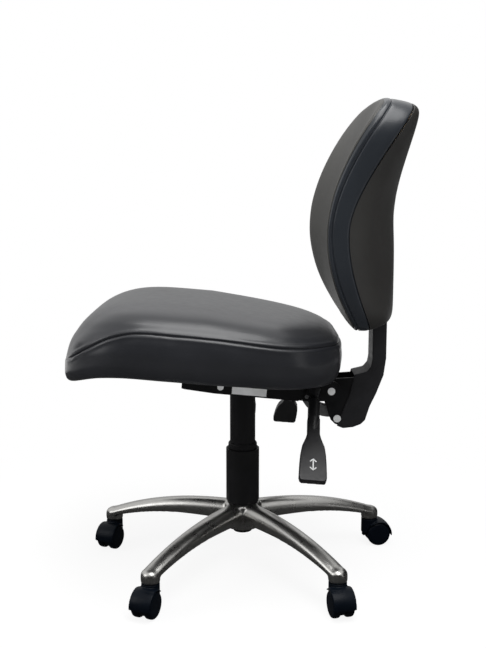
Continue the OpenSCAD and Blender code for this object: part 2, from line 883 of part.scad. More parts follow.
module seat_bolts() {
    head = 4;
    color(zinc)
        lean()
            at_seat_bolts() {
                translate([0, 0, mech_h - plate_t - head])
                    cylinder(r = bolt_r * 1.7, h = head, $fn = 6);
                translate([0, 0, mech_h - plate_t - cut / 2])
                    cylinder(r = bolt_r, h = plate_t + seat_under_t + seat_board_t);
            }
}

// Levers: the hinge is where the rod passes the housing's side plate

lever_bend = 9;
lever_bend_r = 14;
elbow_slim = 0.97;
lever_in = 20;
// The paddle's plastic: a collar at the bend of the near lever, a slim neck, a sleeve and the blade
collar_from = -6;
collar_l = 20;
collar_r = 13;
neck_r = 8.3;
sleeve_r = 11.5;
sleeve_from = 22;
sleeve_round = 3;
sleeve_taper_share = 0.2;
rod_in_paddle = 90;
// Half of a blade's outline: shares of its length and of its half width at the tip
blade_share = [[0, 0.47], [0.26, 0.47], [0.34, 0.58], [0.46, 0.82], [0.58, 0.92], [0.72, 0.97],
    [0.94, 1], [0.985, 0.93], [1, 0.8]];

module place_lever(y, side) {
    lean()
        translate([side * (housing_hw - plate_t / 2), y, lever_z])
            rotate([0, 0, side > 0 ? -lever_sweep_angle : 180 + lever_sweep_angle])
                children();
}

function drop_of(side) = side > 0 ? lever_drop_angle : right_drop_angle;

module along_lever(drop) {
    translate([lever_bend + lever_bend_r * sin(drop), 0, lever_bend_r * (cos(drop) - 1)])
        rotate([0, drop, 0])
            children();
}

function elbow_of(side) = (lever_bend_r + lever_r) * tan(drop_of(side) / 2);

module lever_rod(y, side, inner, tongue) {
    elbow = elbow_of(side);
    color(zinc)
        place_lever(y, side) {
            cross_rod(lever_r, -inner, lever_bend + elbow);
            along_lever(drop_of(side))
                cross_rod(lever_r * elbow_slim, -elbow, rod_in_paddle);
            if (tongue > 0)
                translate([-inner, side > 0 ? -tongue : -lever_r / 2, -lever_r])
                    cube([lever_r * 2.6, tongue + lever_r / 2, lever_r]);
        }
}

// A cone along X from radius a at x = from to radius b at x = to
module cross_cone(a, b, from, to) {
    translate([from, 0, 0])
        rotate([0, 90, 0])
            cylinder(r1 = a, r2 = b, h = to - from);
}

module lever_paddle(y, side) {
    from = lever_l - paddle_l;
    bore_r = lever_r + seat_gap;
    half = [for (p = blade_share) [from + paddle_l * p[0], paddle_w / 2 * p[1]]];
    mirrored = [for (i = [len(half) - 1 : -1 : 0]) [half[i][0], -half[i][1]]];
    color(plastic_black)
        place_lever(y, side)
            difference() {
                along_lever(drop_of(side)) {
                    if (side > 0)
                        cross_cone(collar_r, neck_r, collar_from, collar_from + collar_l);
                    cross_rod(neck_r, 0, sleeve_from);
                    cross_cone(neck_r, sleeve_r, sleeve_from - cut / 2, sleeve_from + sleeve_round);
                    cross_rod(sleeve_r, sleeve_from + sleeve_round, from);
                    cross_cone(sleeve_r, paddle_t / 2, from, from + paddle_l * sleeve_taper_share);
                    translate([0, 0, -paddle_t / 2])
                        linear_extrude(paddle_t)
                            polygon(concat(half, mirrored));
                }
                along_lever(drop_of(side))
                    cross_rod(bore_r, -elbow_of(side) - 2 * lever_r, rod_in_paddle + cut);
                cross_rod(bore_r, 0, lever_bend + elbow_of(side) + seat_gap);
            }
}

// Seat

seat_points = 48;
seat_power = 3.6;
seat_droop_power = 3.4;
seat_mid_y = seat_rear - seat_d / 2;
// Rings of the cushion: inset share of the outline, and height in shares of the border and of the crown
seat_rings_share = [[0.55, 0, 0], [0.92, 0, 0], [0.965, 0.07, 0], [0.99, 0.19, 0], [1, 0.34, 0], [1, 0.52, 0],
    [0.992, 0.74, 0], [0.976, 0.92, 0], [0.956, 0.985, 0], [0.945, 1, 0.07], [0.9, 1, 0.42], [0.8, 1, 0.74],
    [0.62, 1, 0.92], [0.4, 1, 0.98], [0.2, 1, 1]];
seat_low_drop_share = 1.15;
seat_rear_share = 0.94;

function seat_outline(share, i) = let (p = rounded(seat_w / 2, seat_d / 2, i * 360 / seat_points, seat_power))
    [p[0] * share * mix(1, seat_rear_share, max(0, p[1] / (seat_d / 2))), seat_mid_y + p[1] * share];
function seat_droop(y) =
    pow(max(0, (seat_mid_y - seat_d / 2 + seat_nose_l - y) / seat_nose_l), seat_droop_power);
function seat_point(ring, p) = [p[0], p[1],
    mech_h + seat_border_h * ring[1]
    + mix(seat_crown, seat_rear_crown, max(0, (p[1] - seat_mid_y) / (seat_d / 2))) * ring[2]
    - seat_nose_drop * seat_droop(p[1]) * mix(seat_low_drop_share, 1, ring[1])];

module seat_form() {
    points = [for (ring = seat_rings_share, i = [0 : seat_points - 1])
        seat_point(ring, seat_outline(ring[0], i))];
    last = len(seat_rings_share) - 1;
    middle = [0, seat_mid_y];
    polyhedron(concat(points,
        [seat_point(seat_rings_share[0], middle), seat_point(seat_rings_share[last], middle)]),
        [for (f = stack_faces(seat_points, last + 1)) [f[0], f[2], f[1]]]);
}

board_inset = 40;
board_front_share = 0.62;
board_front = seat_mid_y - seat_d / 2 + seat_nose_l * board_front_share;
board_rear = seat_rear - board_inset;
board_hw = seat_w / 2 - board_inset;
board_corner = 110;

// Outline of the board grown by g, with four round corners
module board_outline(g) {
    r = board_corner + g;
    x = board_hw - board_corner;
    y0 = board_front + board_corner;
    y1 = board_rear - board_corner;
    polygon(concat(arc([x, y1], r, 0, 90, 6), arc([-x, y1], r, 90, 180, 6),
        arc([-x, y0], r, 180, 270, 6), arc([x, y0], r, 270, 360, 6)));
}

insert_r = 5;
insert_bore_r = 3;
insert_mid_y = 10;

module at_armrest_inserts() {
    for (x = [-1, 1], y = [-1, 1])
        translate([x * armrest_span / 2, insert_mid_y + y * armrest_pitch / 2, 0])
            children();
}

module seat_board() {
    color(plywood)
        lean()
            difference() {
                translate([0, 0, mech_h + seat_under_t])
                    linear_extrude(seat_board_t)
                        board_outline(0);
                at_seat_bolts()
                    translate([0, 0, mech_h - cut])
                        cylinder(r = bolt_r + seat_gap, h = seat_board_t + 2 * seat_under_t + 2 * cut);
                at_armrest_inserts()
                    translate([0, 0, mech_h - cut])
                        cylinder(r = insert_r + seat_gap, h = seat_board_t + 2 * seat_under_t + 2 * cut);
            }
}

module armrest_inserts() {
    color(zinc)
        lean()
            at_armrest_inserts()
                translate([0, 0, mech_h + seat_under_t])
                    difference() {
                        cylinder(r = insert_r, h = seat_board_t);
                        translate([0, 0, -cut])
                            cylinder(r = insert_bore_r, h = seat_board_t + 2 * cut);
                    }
}

module seat_underside_cover() {
    color(plastic_black)
        lean()
            difference() {
                translate([0, 0, mech_h])
                    linear_extrude(seat_under_t)
                        board_outline(0);
                at_seat_bolts()
                    translate([0, 0, mech_h - cut])
                        cylinder(r = bolt_r + seat_gap, h = seat_under_t + 2 * cut);
                at_armrest_inserts()
                    translate([0, 0, mech_h - cut])
                        cylinder(r = insert_r + cut, h = seat_under_t + 2 * cut);
            }
}

module seat_cushion() {
    color(vinyl)
        lean()
            difference() {
                seat_form();
                translate([0, 0, mech_h - seat_nose_drop])
                    linear_extrude(seat_nose_drop + seat_under_t + seat_board_t + seat_gap)
                        board_outline(seat_gap);
            }
}

// Back bracket, J-bar and its cover, all in (y, z) from the back pivot

bracket_t = 4;
bracket_hw = jbar_w / 2 + bracket_t + face_gap;
bracket_lug_r = 16;
bend_z = 62;
bend_r = 90;
bend_angle = 24;
jbar_leg = 90;
jbar_top = back_low + lumbar_h;
bend_c = [jbar_y - bend_r, bend_z];
// End of the bend and direction of the leg
bend_end = bend_c + bend_r * [cos(bend_angle), -sin(bend_angle)];
leg_dir = [-sin(bend_angle), -cos(bend_angle)];
leg_side = [cos(bend_angle), -sin(bend_angle)];

module j_bar() {
    color(steel_black)
        back_frame()
            difference() {
                side_plate(concat(
                    [[jbar_y - jbar_t / 2, jbar_top], [jbar_y - jbar_t / 2, bend_z]],
                    arc(bend_c, bend_r - jbar_t / 2, 0, -bend_angle, 8),
                    [bend_end + leg_dir * jbar_leg - leg_side * jbar_t / 2,
                     bend_end + leg_dir * jbar_leg + leg_side * jbar_t / 2],
                    arc(bend_c, bend_r + jbar_t / 2, -bend_angle, 0, 8),
                    [[jbar_y + jbar_t / 2, jbar_top]]), jbar_w / 2);
                at_jbar_bolts()
                    translate([0, 0, -jbar_t])
                        cylinder(r = jbar_bolt_r + seat_gap, h = 2 * jbar_t);
                for (down = [2 * notch_pitch : notch_pitch : height_travel + 2 * notch_pitch])
                    translate([jbar_w / 2 - notch_deep, jbar_y - jbar_t, jbar_top - down])
                        cube([notch_deep + cut, 2 * jbar_t, notch_pitch / 2]);
            }
}

jbar_bolt_r = 4;
jbar_bolts_share = [0.3, 0.78];
notch_pitch = 10;
notch_deep = 4;
bolt_head = 5;

// The bolts' own frame: +Z points back, square to the J-bar's leg
module at_jbar_bolts() {
    for (s = jbar_bolts_share)
        translate([0, (bend_end + leg_dir * jbar_leg * s)[0], (bend_end + leg_dir * jbar_leg * s)[1]])
            rotate([-90 - bend_angle, 0, 0])
                children();
}

module j_bar_bolts() {
    color(zinc)
        back_frame()
            at_jbar_bolts() {
                translate([0, 0, -jbar_t / 2 - bracket_t - bolt_head])
                    cylinder(r = jbar_bolt_r, h = jbar_t + bracket_t + bolt_head + cut);
                translate([0, 0, jbar_t / 2 + seat_gap])
                    cylinder(r = jbar_bolt_r * 1.7, h = bolt_head, $fn = 6);
            }
}

// Outline of the bracket's side from the back pivot, in shares of the distance to the upright J-bar
bracket_side_share = [[-0.147, -0.063], [-0.042, -0.526], [0.011, -0.653], [0.105, -0.747], [0.274, -0.768],
    [0.474, -0.747], [0.589, -0.632], [0.674, -0.358], [0.821, 0.105], [0.863, 0.379], [0.8, 0.347],
    [0.726, 0.305], [0.463, 0.253], [0, 0.221], [-0.105, 0.147]];
bracket_web_share = [[0.295, -0.768], [0.474, -0.747], [0.463, -0.705], [0.295, -0.726]];

module bracket_side() {
    side_plate(bracket_side_share * jbar_y, bracket_t / 2);
}

// Point along the J-bar's leg, off its front face
function leg_point(s, off) = bend_end + leg_dir * jbar_leg * s - leg_side * (jbar_t / 2 + off);
// Where the lock pin lies, from the back pivot, in the upright frame
pin_at = lock_pin_r * [cos(lock_pin_angle - seat_lean), sin(lock_pin_angle - seat_lean)];

module back_bracket() {
    color(steel_black)
        back_frame()
            difference() {
                union() {
                    for (side = [-1, 1])
                        translate([side * (bracket_hw - bracket_t / 2), 0, 0]) {
                            bracket_side();
                            cross_rod(bracket_lug_r, -bracket_t / 2, bracket_t / 2);
                        }
                    side_plate([leg_point(0.1, seat_gap), leg_point(1, seat_gap),
                        leg_point(1, bracket_t), leg_point(0.1, bracket_t)], bracket_hw - bracket_t / 2);
                    side_plate(bracket_web_share * jbar_y, bracket_hw - bracket_t / 2);
                }
                cross_rod(back_pin_r + run, -bracket_hw - cut, bracket_hw + cut);
                translate([0, pin_at[0], pin_at[1]])
                    cross_rod(lock_rod_r + seat_gap, -bracket_hw - cut, bracket_hw + cut);
                at_jbar_bolts()
                    translate([0, 0, -2 * jbar_t])
                        cylinder(r = jbar_bolt_r + seat_gap, h = 2 * jbar_t);
            }
}

boot_hw = bracket_hw + seat_gap + boot_wall;
boot_up = 72;
boot_top = back_low + boot_up;
// Outlines of the cover outside and inside, in shares of the distance from pivot to upright J-bar
boot_outer_share = [[0.858, 0.632], [0.832, 0.484], [0.747, 0.379], [0.489, 0.316], [0.4, -0.084],
    [0.263, -0.442], [0.132, -0.779], [0.272, -0.834], [0.48, -0.811], [0.642, -0.747], [0.732, -0.658],
    [0.821, -0.368], [0.953, -0.084], [1.1, 0.305], [1.147, 0.663]];
boot_inner_share = [[0.916, 0.589], [0.863, 0.453], [0.758, 0.347], [0.484, 0.284], [0, 0.253],
    [-0.211, -0.802], [0.272, -0.802], [0.474, -0.779], [0.617, -0.721], [0.701, -0.642], [0.789, -0.358],
    [0.922, -0.074], [1.068, 0.316], [1.116, 0.663]];
boot_lip = 4;
boot_step = 2.5;
boot_front = boot_outer_share[0][0] * jbar_y;
boot_rear = boot_outer_share[len(boot_outer_share) - 1][0] * jbar_y;

// The lock pin's caps lie in holes of the cover
module back_cap_holes() {
    translate([0, pin_at[0], pin_at[1]])
        cross_rod(back_cap_r + face_gap, -boot_hw - cut, boot_hw + cut);
}

module j_bar_cover() {
    color(plastic_black)
        back_frame()
            difference() {
                side_plate(concat([[boot_front + boot_step, boot_top],
                    [boot_front + boot_step, back_low - boot_lip], [boot_front, back_low - 2 * boot_lip]],
                    boot_outer_share * jbar_y, [[boot_rear, boot_top]]), boot_hw);
                side_plate(concat([[boot_front + boot_step + boot_wall, boot_top + cut]],
                    boot_inner_share * jbar_y, [[boot_rear - boot_wall, boot_top + cut]]),
                    boot_hw - boot_wall);
                back_cap_holes();
            }
}

// Back: surfaces as functions of x and the height z above the back pivot

back_points = 44;
back_power = 8;
lumbar_z = back_low + lumbar_h;
hollow_low_h = 182;
hollow_high_h = 250;
border_slim = 15;
// Fall of the top and bottom edges from the middle to the wings, as a share of the half height
back_crown_share = 0.05;
// Fall of the top edge from the pad's front to its rear, and flattening of the front curve away from the lumbar
top_drop = 12;
front_round = 320;
// The wings' rear edge bends from its most forward point, slower below than above
edge_y = 11;
edge_round = 55;
edge_low_slope = 0.47;
edge_high_slope = 0.7;

function back_outline(share, i) = let (p = rounded(back_w / 2, back_h / 2, i * 360 / back_points, back_power),
    x = p[0] * share)
    [x, back_low + back_h / 2 + p[1] * share * (1 - back_crown_share * pow(x / (back_w / 2), 2))];
function wing_front(z) = wing_y - front_round
    + norm([front_round, (z - lumbar_z) * sqrt(front_round / back_curve_r)]);
function rear_z(z) = z - top_drop * pow(max(0, z - lumbar_z) / (back_h - lumbar_h), 2);
function wing_rear(z) = edge_y - edge_round
    + norm([edge_round, (z - lumbar_z) * (z < lumbar_z ? edge_low_slope : edge_high_slope)]);
function hollow_at(z) = let (h = z < lumbar_z ? hollow_low_h : hollow_high_h)
    back_hollow * (1 - pow((z - lumbar_z) / h, 2));
function front_y(p) = wing_front(p[1]) + hollow_at(p[1]) * (1 - pow(p[0] / (back_w / 2), 2));
function border_at(p) = mix(back_border - border_slim * pow(max(0, lumbar_z - p[1]) / lumbar_h, 2),
    wing_rear(p[1]) - wing_front(p[1]), pow(p[0] / (back_w / 2), 2));
function pad_rear(p) = front_y(p) + border_at(p);

// Rings of the pad: inset share, and depth behind the front surface in shares of the border
back_rings_share = [[0.4, 1], [0.8, 1], [0.95, 1], [0.995, 0.96], [1.008, 0.7], [1.006, 0.42],
    [0.998, 0.2],
    [0.987, 0.08], [0.968, 0.02], [0.93, 0], [0.87, 0], [0.7, 0], [0.5, -0.02], [0.25, -0.03]];

function back_point(p, depth) =
    [p[0], front_y(p) + border_at(p) * depth, mix(p[1], rear_z(p[1]), depth)];

module back_cushion() {
    points = [for (ring = back_rings_share, i = [0 : back_points - 1])
        back_point(back_outline(ring[0], i), ring[1])];
    last = len(back_rings_share) - 1;
    middle = [0, back_low + back_h / 2];
    color(vinyl)
        back_frame()
            polyhedron(concat(points,
                [back_point(middle, back_rings_share[0][1]), back_point(middle, back_rings_share[last][1])]),
                [for (f = stack_faces(back_points, last + 1)) [f[0], f[2], f[1]]]);
}

board_rings_share = [0.4, 0.8, 0.95];

module back_board() {
    front = pad_gap;
    rear = pad_gap + back_board_t;
    n = len(board_rings_share);
    points = concat(
        [for (share = board_rings_share, i = [0 : back_points - 1])
            board_point(back_outline(share, i), front)],
        [for (k = [n - 1 : -1 : 0], i = [0 : back_points - 1])
            board_point(back_outline(board_rings_share[k], i), rear)]);
    middle = [0, back_low + back_h / 2];
    color(plywood)
        back_frame()
            difference() {
                polyhedron(concat(points, [board_point(middle, front), board_point(middle, rear)]),
                    stack_faces(back_points, 2 * n));
                at_back_screws()
                    rotate([-90, 0, 0])
                        translate([0, 0, ratchet_front - screw_in_board - seat_gap])
                            cylinder(r = screw_r + seat_gap, h = 2 * screw_in_board);
            }
}

// Gap between the pad and its board, which keeps their faceted faces apart
pad_gap = 0.3;
function board_point(p, depth) = [p[0], pad_rear(p) + depth, rear_z(p[1])];

// Rear shell: from the pad's rear edge out to an upright middle that leans back at the top

shell_behind = 23;
shell_lean_up = 57;
shell_rear_y = jbar_y + shell_behind;
shell_lean_z = lumbar_z + shell_lean_up;
shell_rings_share = [1, 0.985, 0.965, 0.93, 0.87, 0.78, 0.64, 0.45, 0.22];
function shell_back_y(z) = shell_rear_y + pow(max(0, z - shell_lean_z), 2) / (2 * shell_lean_r);
shell_edge_power = 26;
shell_round_share = 0.77;
function shell_point(share, i, inset, wall) = let (
    p = back_outline(share * (1 - inset), i),
    rim_y = pad_rear(back_outline(1 - inset, i)) + pad_gap,
    depth = (1 - shell_round_share * pow(p[0] / (back_w / 2), 2)) * (1 - pow(share, shell_edge_power)))
    [p[0], mix(rim_y, shell_back_y(rear_z(p[1])), depth) - wall * min(1, depth * 4), rear_z(p[1])];

module shell_form() {
    inset = shell_wall / (back_w / 2);
    n = len(shell_rings_share);
    middle = [0, back_low + back_h / 2];
    points = concat(
        [for (k = [n - 1 : -1 : 0], i = [0 : back_points - 1]) shell_point(shell_rings_share[k], i, 0, 0)],
        [for (k = [0 : n - 1], i = [0 : back_points - 1])
            shell_point(shell_rings_share[k], i, inset, shell_wall)]);
    polyhedron(concat(points, [
        [0, shell_back_y(middle[1]), middle[1]], [0, shell_back_y(middle[1]) - shell_wall, middle[1]]]),
        [for (f = stack_faces(back_points, 2 * n)) [f[0], f[2], f[1]]]);
}

slot_gap = 1.4;

module back_shell() {
    color(vinyl)
        back_frame()
            difference() {
                shell_form();
                translate([-boot_hw - slot_gap, boot_front - slot_gap, back_low - boot_wall])
                    cube([2 * (boot_hw + slot_gap), boot_rear - boot_front + 2 * slot_gap, shell_wall * 10]);
            }
}

// Ratchet: a guide on the board that slides on the J-bar

ratchet_hw = 34;
ratchet_up = 80;
ratchet_low = back_low + ratchet_up;
ratchet_h = 120;
ratchet_rear = 12.5;
screw_in_board = 5;
screw_edge = 5.2;
screw_end = 15;
screw_r = 3;

module at_back_screws() {
    for (x = [-1, 1], z = [screw_end, ratchet_h - screw_end])
        translate([x * (ratchet_hw - screw_edge), 0, ratchet_low + z])
            children();
}

ratchet_front = max([for (z = [0 : ratchet_h / 8 : ratchet_h * 1.125]) pad_rear([0, ratchet_low + z])])
    + pad_gap + back_board_t + face_gap + 4 * seat_gap;

module back_ratchet() {
    front = ratchet_front;
    slide_gap = 0.3;
    color(plastic_black)
        back_frame()
            difference() {
                translate([-ratchet_hw, front, ratchet_low])
                    cube([2 * ratchet_hw, jbar_y + ratchet_rear - front, ratchet_h]);
                translate([-jbar_w / 2 - slide_gap, jbar_y - jbar_t / 2 - slide_gap, ratchet_low - cut])
                    cube([jbar_w + 2 * slide_gap, jbar_t + 2 * slide_gap, ratchet_h + 2 * cut]);
                at_back_screws()
                    translate([0, front - cut, 0])
                        rotate([-90, 0, 0])
                            cylinder(r = screw_r + seat_gap, h = jbar_y + ratchet_rear - front + 2 * cut);
            }
}

module back_screws() {
    front = ratchet_front - screw_in_board;
    rear = jbar_y + ratchet_rear;
    color(zinc)
        back_frame()
            at_back_screws()
                rotate([-90, 0, 0]) {
                    translate([0, 0, front])
                        cylinder(r = screw_r, h = rear - front);
                    translate([0, 0, rear])
                        cylinder(r = screw_r * 1.5, h = screw_r / 2);
                }
}

base_star();
gas_outer_tube();
guide_bush();
thrust_bearing();
cover_lower();
piston_rod();
retaining_clip();
cover_middle();
gas_cylinder();
valve_button();
cover_upper();
mechanism_housing();
pivot_pins();
back_pivot_caps();
lock_bolts();
seat_plate();
seat_pivot_caps();
seat_lock_plates();
seat_bolts();
seat_board();
armrest_inserts();
seat_underside_cover();
seat_cushion();
lever_rod(height_lever_y, -1, housing_hw - plate_t / 2 + lever_r * 1.3, height_lever_y + 2 * button_r);  // height_lever_rod
lever_paddle(height_lever_y, -1);  // height_lever_paddle
lever_rod(back_lever_y, -1, lever_in, 0);  // back_lever_rod
lever_paddle(back_lever_y, -1);  // back_lever_paddle
lever_rod(seat_lever_y, 1, lever_in, 0);  // seat_lever_rod
lever_paddle(seat_lever_y, 1);  // seat_lever_paddle
back_bracket();
back_lock_plates();
back_lock_pin();
j_bar();
j_bar_bolts();
j_bar_cover();
back_ratchet();
back_screws();
back_board();
back_shell();
back_cushion();
for (i = [1 : ARMS]) {
    castor_hood(i - 1);
    castor_stem_and_axle(i - 1);
    castor_wheel(i - 1, 1);
    castor_wheel(i - 1, -1);
}
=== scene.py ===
"""Looks of a task chair: vinyl seat and back, moulded plastics, steel plates and a polished star base.

Everything is in metres in the chair's own frame: +Z up, the sitter faces -Y, +X is the sitter's left.
"""

import json
import math

import bpy
import numpy as np
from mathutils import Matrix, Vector


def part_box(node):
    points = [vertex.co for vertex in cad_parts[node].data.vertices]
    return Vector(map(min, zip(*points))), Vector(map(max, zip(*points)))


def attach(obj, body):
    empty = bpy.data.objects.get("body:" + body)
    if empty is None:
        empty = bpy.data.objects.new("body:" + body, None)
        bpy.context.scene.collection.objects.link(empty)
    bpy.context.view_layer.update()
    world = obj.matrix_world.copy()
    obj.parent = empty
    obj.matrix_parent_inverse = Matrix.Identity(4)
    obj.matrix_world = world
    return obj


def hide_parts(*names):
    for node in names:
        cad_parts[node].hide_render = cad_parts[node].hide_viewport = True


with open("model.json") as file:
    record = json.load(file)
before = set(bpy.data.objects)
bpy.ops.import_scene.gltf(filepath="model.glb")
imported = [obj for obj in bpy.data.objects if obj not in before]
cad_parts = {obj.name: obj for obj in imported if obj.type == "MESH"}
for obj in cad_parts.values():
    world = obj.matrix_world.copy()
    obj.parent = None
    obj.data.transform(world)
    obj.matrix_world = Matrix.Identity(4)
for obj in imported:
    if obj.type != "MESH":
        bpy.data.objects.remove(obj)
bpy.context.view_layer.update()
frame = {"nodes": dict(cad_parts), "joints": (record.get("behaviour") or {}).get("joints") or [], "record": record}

# Driving sizes, as the chair is built; the back's are measured from its pivot, and turns are in degrees

LEAN = math.radians(5.0)
MECH_Z = 0.362
MECH_H = 0.058
SEAT_W = 0.520
SEAT_D = 0.526
SEAT_REAR = 0.183
SEAT_MID = SEAT_REAR - SEAT_D / 2
SEAT_BORDER = 0.083
SEAT_CROWN = 0.040
SEAT_REAR_CROWN = 0.018
SEAT_NOSE_DROP = 0.048
SEAT_NOSE_L = 0.205
BACK_W = 0.424
BACK_H = 0.431
BACK_LOW = 0.132
BACK_MID_Z = BACK_LOW + BACK_H / 2
LUMBAR_H = 0.183
LUMBAR_Z = BACK_LOW + LUMBAR_H
WING_Y = -0.033
BACK_CURVE_R = 0.246
BACK_HOLLOW = 0.059
BACK_BORDER = 0.044
ARM_REACH = 0.290
BASE_TURN = 0.7
FIRST_ARM_TURN = -36
ARMS = 5
CASTOR_H = 0.0595
HUB_Z = 0.078
HUB_H = 0.052
HUB_R = 0.0365
COLLAR_R = 0.018
COLLAR_H = 0.014
COLLAR_DOME = 0.012
WHEEL_R = 0.025

joints = {joint["name"]: joint for joint in frame["joints"]}
back_pivot = Vector(joints["back_recline"]["pos_m"])


# Camera: the photograph looks along -X from the sitter's left, slightly down

CAMERA_AT = (1.81511, 0.0, 0.77908)
CAMERA_PITCH = math.radians(8.81)
# In pixels of the photograph, and the sensor in millimetres
FOCAL_PX = 918.6
PHOTO_H = 648
SHIFT_PX = 0.35
SENSOR = 36


def add_camera():
    data = bpy.data.cameras.new("camera")
    data.sensor_width = SENSOR
    data.lens = FOCAL_PX / PHOTO_H * SENSOR
    data.shift_x = SHIFT_PX / PHOTO_H
    camera = bpy.data.objects.new("camera", data)
    bpy.context.scene.collection.objects.link(camera)
    camera.location = CAMERA_AT
    look = Vector((-math.cos(CAMERA_PITCH), 0, -math.sin(CAMERA_PITCH)))
    camera.rotation_euler = look.to_track_quat("-Z", "Y").to_euler()
    bpy.context.scene.camera = camera


# Materials


class Tree:
    """The nodes and links of a material or world under construction."""

    def __init__(self, owner):
        owner.use_nodes = True
        self.nodes = owner.node_tree.nodes
        self.links = owner.node_tree.links

    def add(self, kind, **values):
        """A new node; each value is a setting of it or an input, where an underscore stands for a space."""
        node = self.nodes.new(kind)
        for key, value in values.items():
            if hasattr(node, key):
                setattr(node, key, value)
            else:
                node.inputs[key.replace("_", " ")].default_value = value
        return node

    def link(self, source, target):
        self.links.new(source, target)


class Shader(Tree):
    """A node material under construction around one Principled shader."""

    def __init__(self, name, color, roughness, metallic=0.0, **sockets):
        self.material = bpy.data.materials.new(name)
        super().__init__(self.material)
        self.bsdf = self.nodes["Principled BSDF"]
        self.set("Base Color", (*color, 1.0))
        self.set("Roughness", roughness)
        self.set("Metallic", metallic)
        for socket, value in sockets.items():
            self.set(socket.replace("_", " "), value)
        self.coords = self.add("ShaderNodeTexCoord").outputs["Object"]
        self.material.diffuse_color = (*color, 1.0)

    def set(self, socket, value):
        self.bsdf.inputs[socket].default_value = value

    def stretched(self, factors):
        """Object coordinates scaled by factors, for drawn metal and wood grain."""
        mapping = self.add("ShaderNodeMapping", Scale=factors)
        self.link(self.coords, mapping.inputs["Vector"])
        return mapping.outputs["Vector"]

    def noise(self, scale, detail=4.0, coords=None):
        node = self.add("ShaderNodeTexNoise", Scale=scale, Detail=detail)
        self.link(coords or self.coords, node.inputs["Vector"])
        return node.outputs["Fac"]

    def cells(self, scale, feature="DISTANCE_TO_EDGE"):
        node = self.add("ShaderNodeTexVoronoi", feature=feature, Scale=scale)
        self.link(self.coords, node.inputs["Vector"])
        return node.outputs["Distance"]

    def ranged(self, source, low=0.0, high=1.0, from_low=0.3, from_high=0.7):
        """Source between from_low and from_high, spread from low to high."""
        node = self.add("ShaderNodeMapRange", From_Min=from_low, From_Max=from_high, To_Min=low, To_Max=high)
        self.link(source, node.inputs["Value"])
        return node.outputs["Result"]

    def tint(self, source, dark, light):
        """Base colour that runs from dark to light with source."""
        mix = self.add("ShaderNodeMix", data_type="RGBA")
        ends = {"A": dark, "B": light}
        self.link(source, mix.inputs["Factor"])
        for socket in mix.inputs:
            if socket.type == "RGBA":
                socket.default_value = (*ends[socket.name], 1.0)
        output = next(socket for socket in mix.outputs if socket.type == "RGBA")
        self.link(output, self.bsdf.inputs["Base Color"])

    def roughen(self, source, low, high):
        """Roughness that runs from low to high with source."""
        self.link(self.ranged(source, low, high), self.bsdf.inputs["Roughness"])

    def bump(self, source, distance, strength):
        """Adds a bump on top of those added before."""
        node = self.add("ShaderNodeBump", Distance=distance, Strength=strength)
        self.link(source, node.inputs["Height"])
        normal = self.bsdf.inputs["Normal"]
        if normal.links:
            self.link(normal.links[0].from_socket, node.inputs["Normal"])
        self.link(node.outputs["Normal"], normal)


def vinyl(name, dark, light, roughness):
    shader = Shader(name, light, roughness, Specular_IOR_Level=0.46)
    shader.tint(shader.ranged(shader.noise(9.0)), dark, light)
    shader.roughen(shader.noise(60.0), roughness - 0.015, roughness + 0.02)
    shader.bump(shader.cells(700.0), distance=0.00005, strength=0.25)
    shader.bump(shader.noise(260.0), distance=0.00006, strength=0.25)
    return shader.material


def moulded(name, color, roughness, grain=1400.0, depth=0.00006, shine=0.2):
    """Plastic with a moulded grain of the given scale and depth."""
    shader = Shader(name, color, roughness, Specular_IOR_Level=shine)
    lighter = tuple(c * 1.3 for c in color)
    shader.tint(shader.ranged(shader.noise(30.0)), color, lighter)
    shader.roughen(shader.noise(120.0), roughness - 0.05, roughness + 0.06)
    shader.bump(shader.noise(grain, detail=2.0), distance=depth, strength=0.6)
    return shader.material


def powder_coat(name, color):
    shader = Shader(name, color, 0.42, Specular_IOR_Level=0.2)
    lighter = tuple(c * 1.4 for c in color)
    shader.tint(shader.ranged(shader.noise(40.0)), color, lighter)
    shader.roughen(shader.noise(90.0), 0.36, 0.5)
    shader.bump(shader.noise(900.0, detail=2.0), distance=0.00008, strength=0.5)
    return shader.material


def polished_aluminium():
    shader = Shader("polished_aluminium", (0.44, 0.435, 0.42), 0.28, metallic=1.0)
    shader.roughen(shader.noise(45.0), 0.25, 0.34)
    return shader.material


def zinc_plate():
    shader = Shader("zinc_plate", (0.66, 0.67, 0.68), 0.34, metallic=1.0)
    spangle = shader.ranged(shader.cells(160.0, "F1"), from_low=0.0, from_high=0.8)
    shader.tint(spangle, (0.58, 0.59, 0.6), (0.72, 0.73, 0.74))
    shader.roughen(shader.noise(200.0), 0.28, 0.42)
    return shader.material


def drawn_steel():
    shader = Shader("drawn_steel", (0.8, 0.8, 0.8), 0.12, metallic=1.0)
    lines = shader.noise(300.0, coords=shader.stretched((1, 1, 0.02)))
    shader.roughen(lines, 0.08, 0.2)
    return shader.material


def plywood():
    shader = Shader("plywood", (0.6, 0.45, 0.28), 0.7)
    grain = shader.noise(26.0, detail=6.0, coords=shader.stretched((1, 12, 40)))
    shader.tint(shader.ranged(grain), (0.5, 0.35, 0.2), (0.68, 0.52, 0.34))
    shader.bump(grain, distance=0.0002, strength=0.4)
    return shader.material


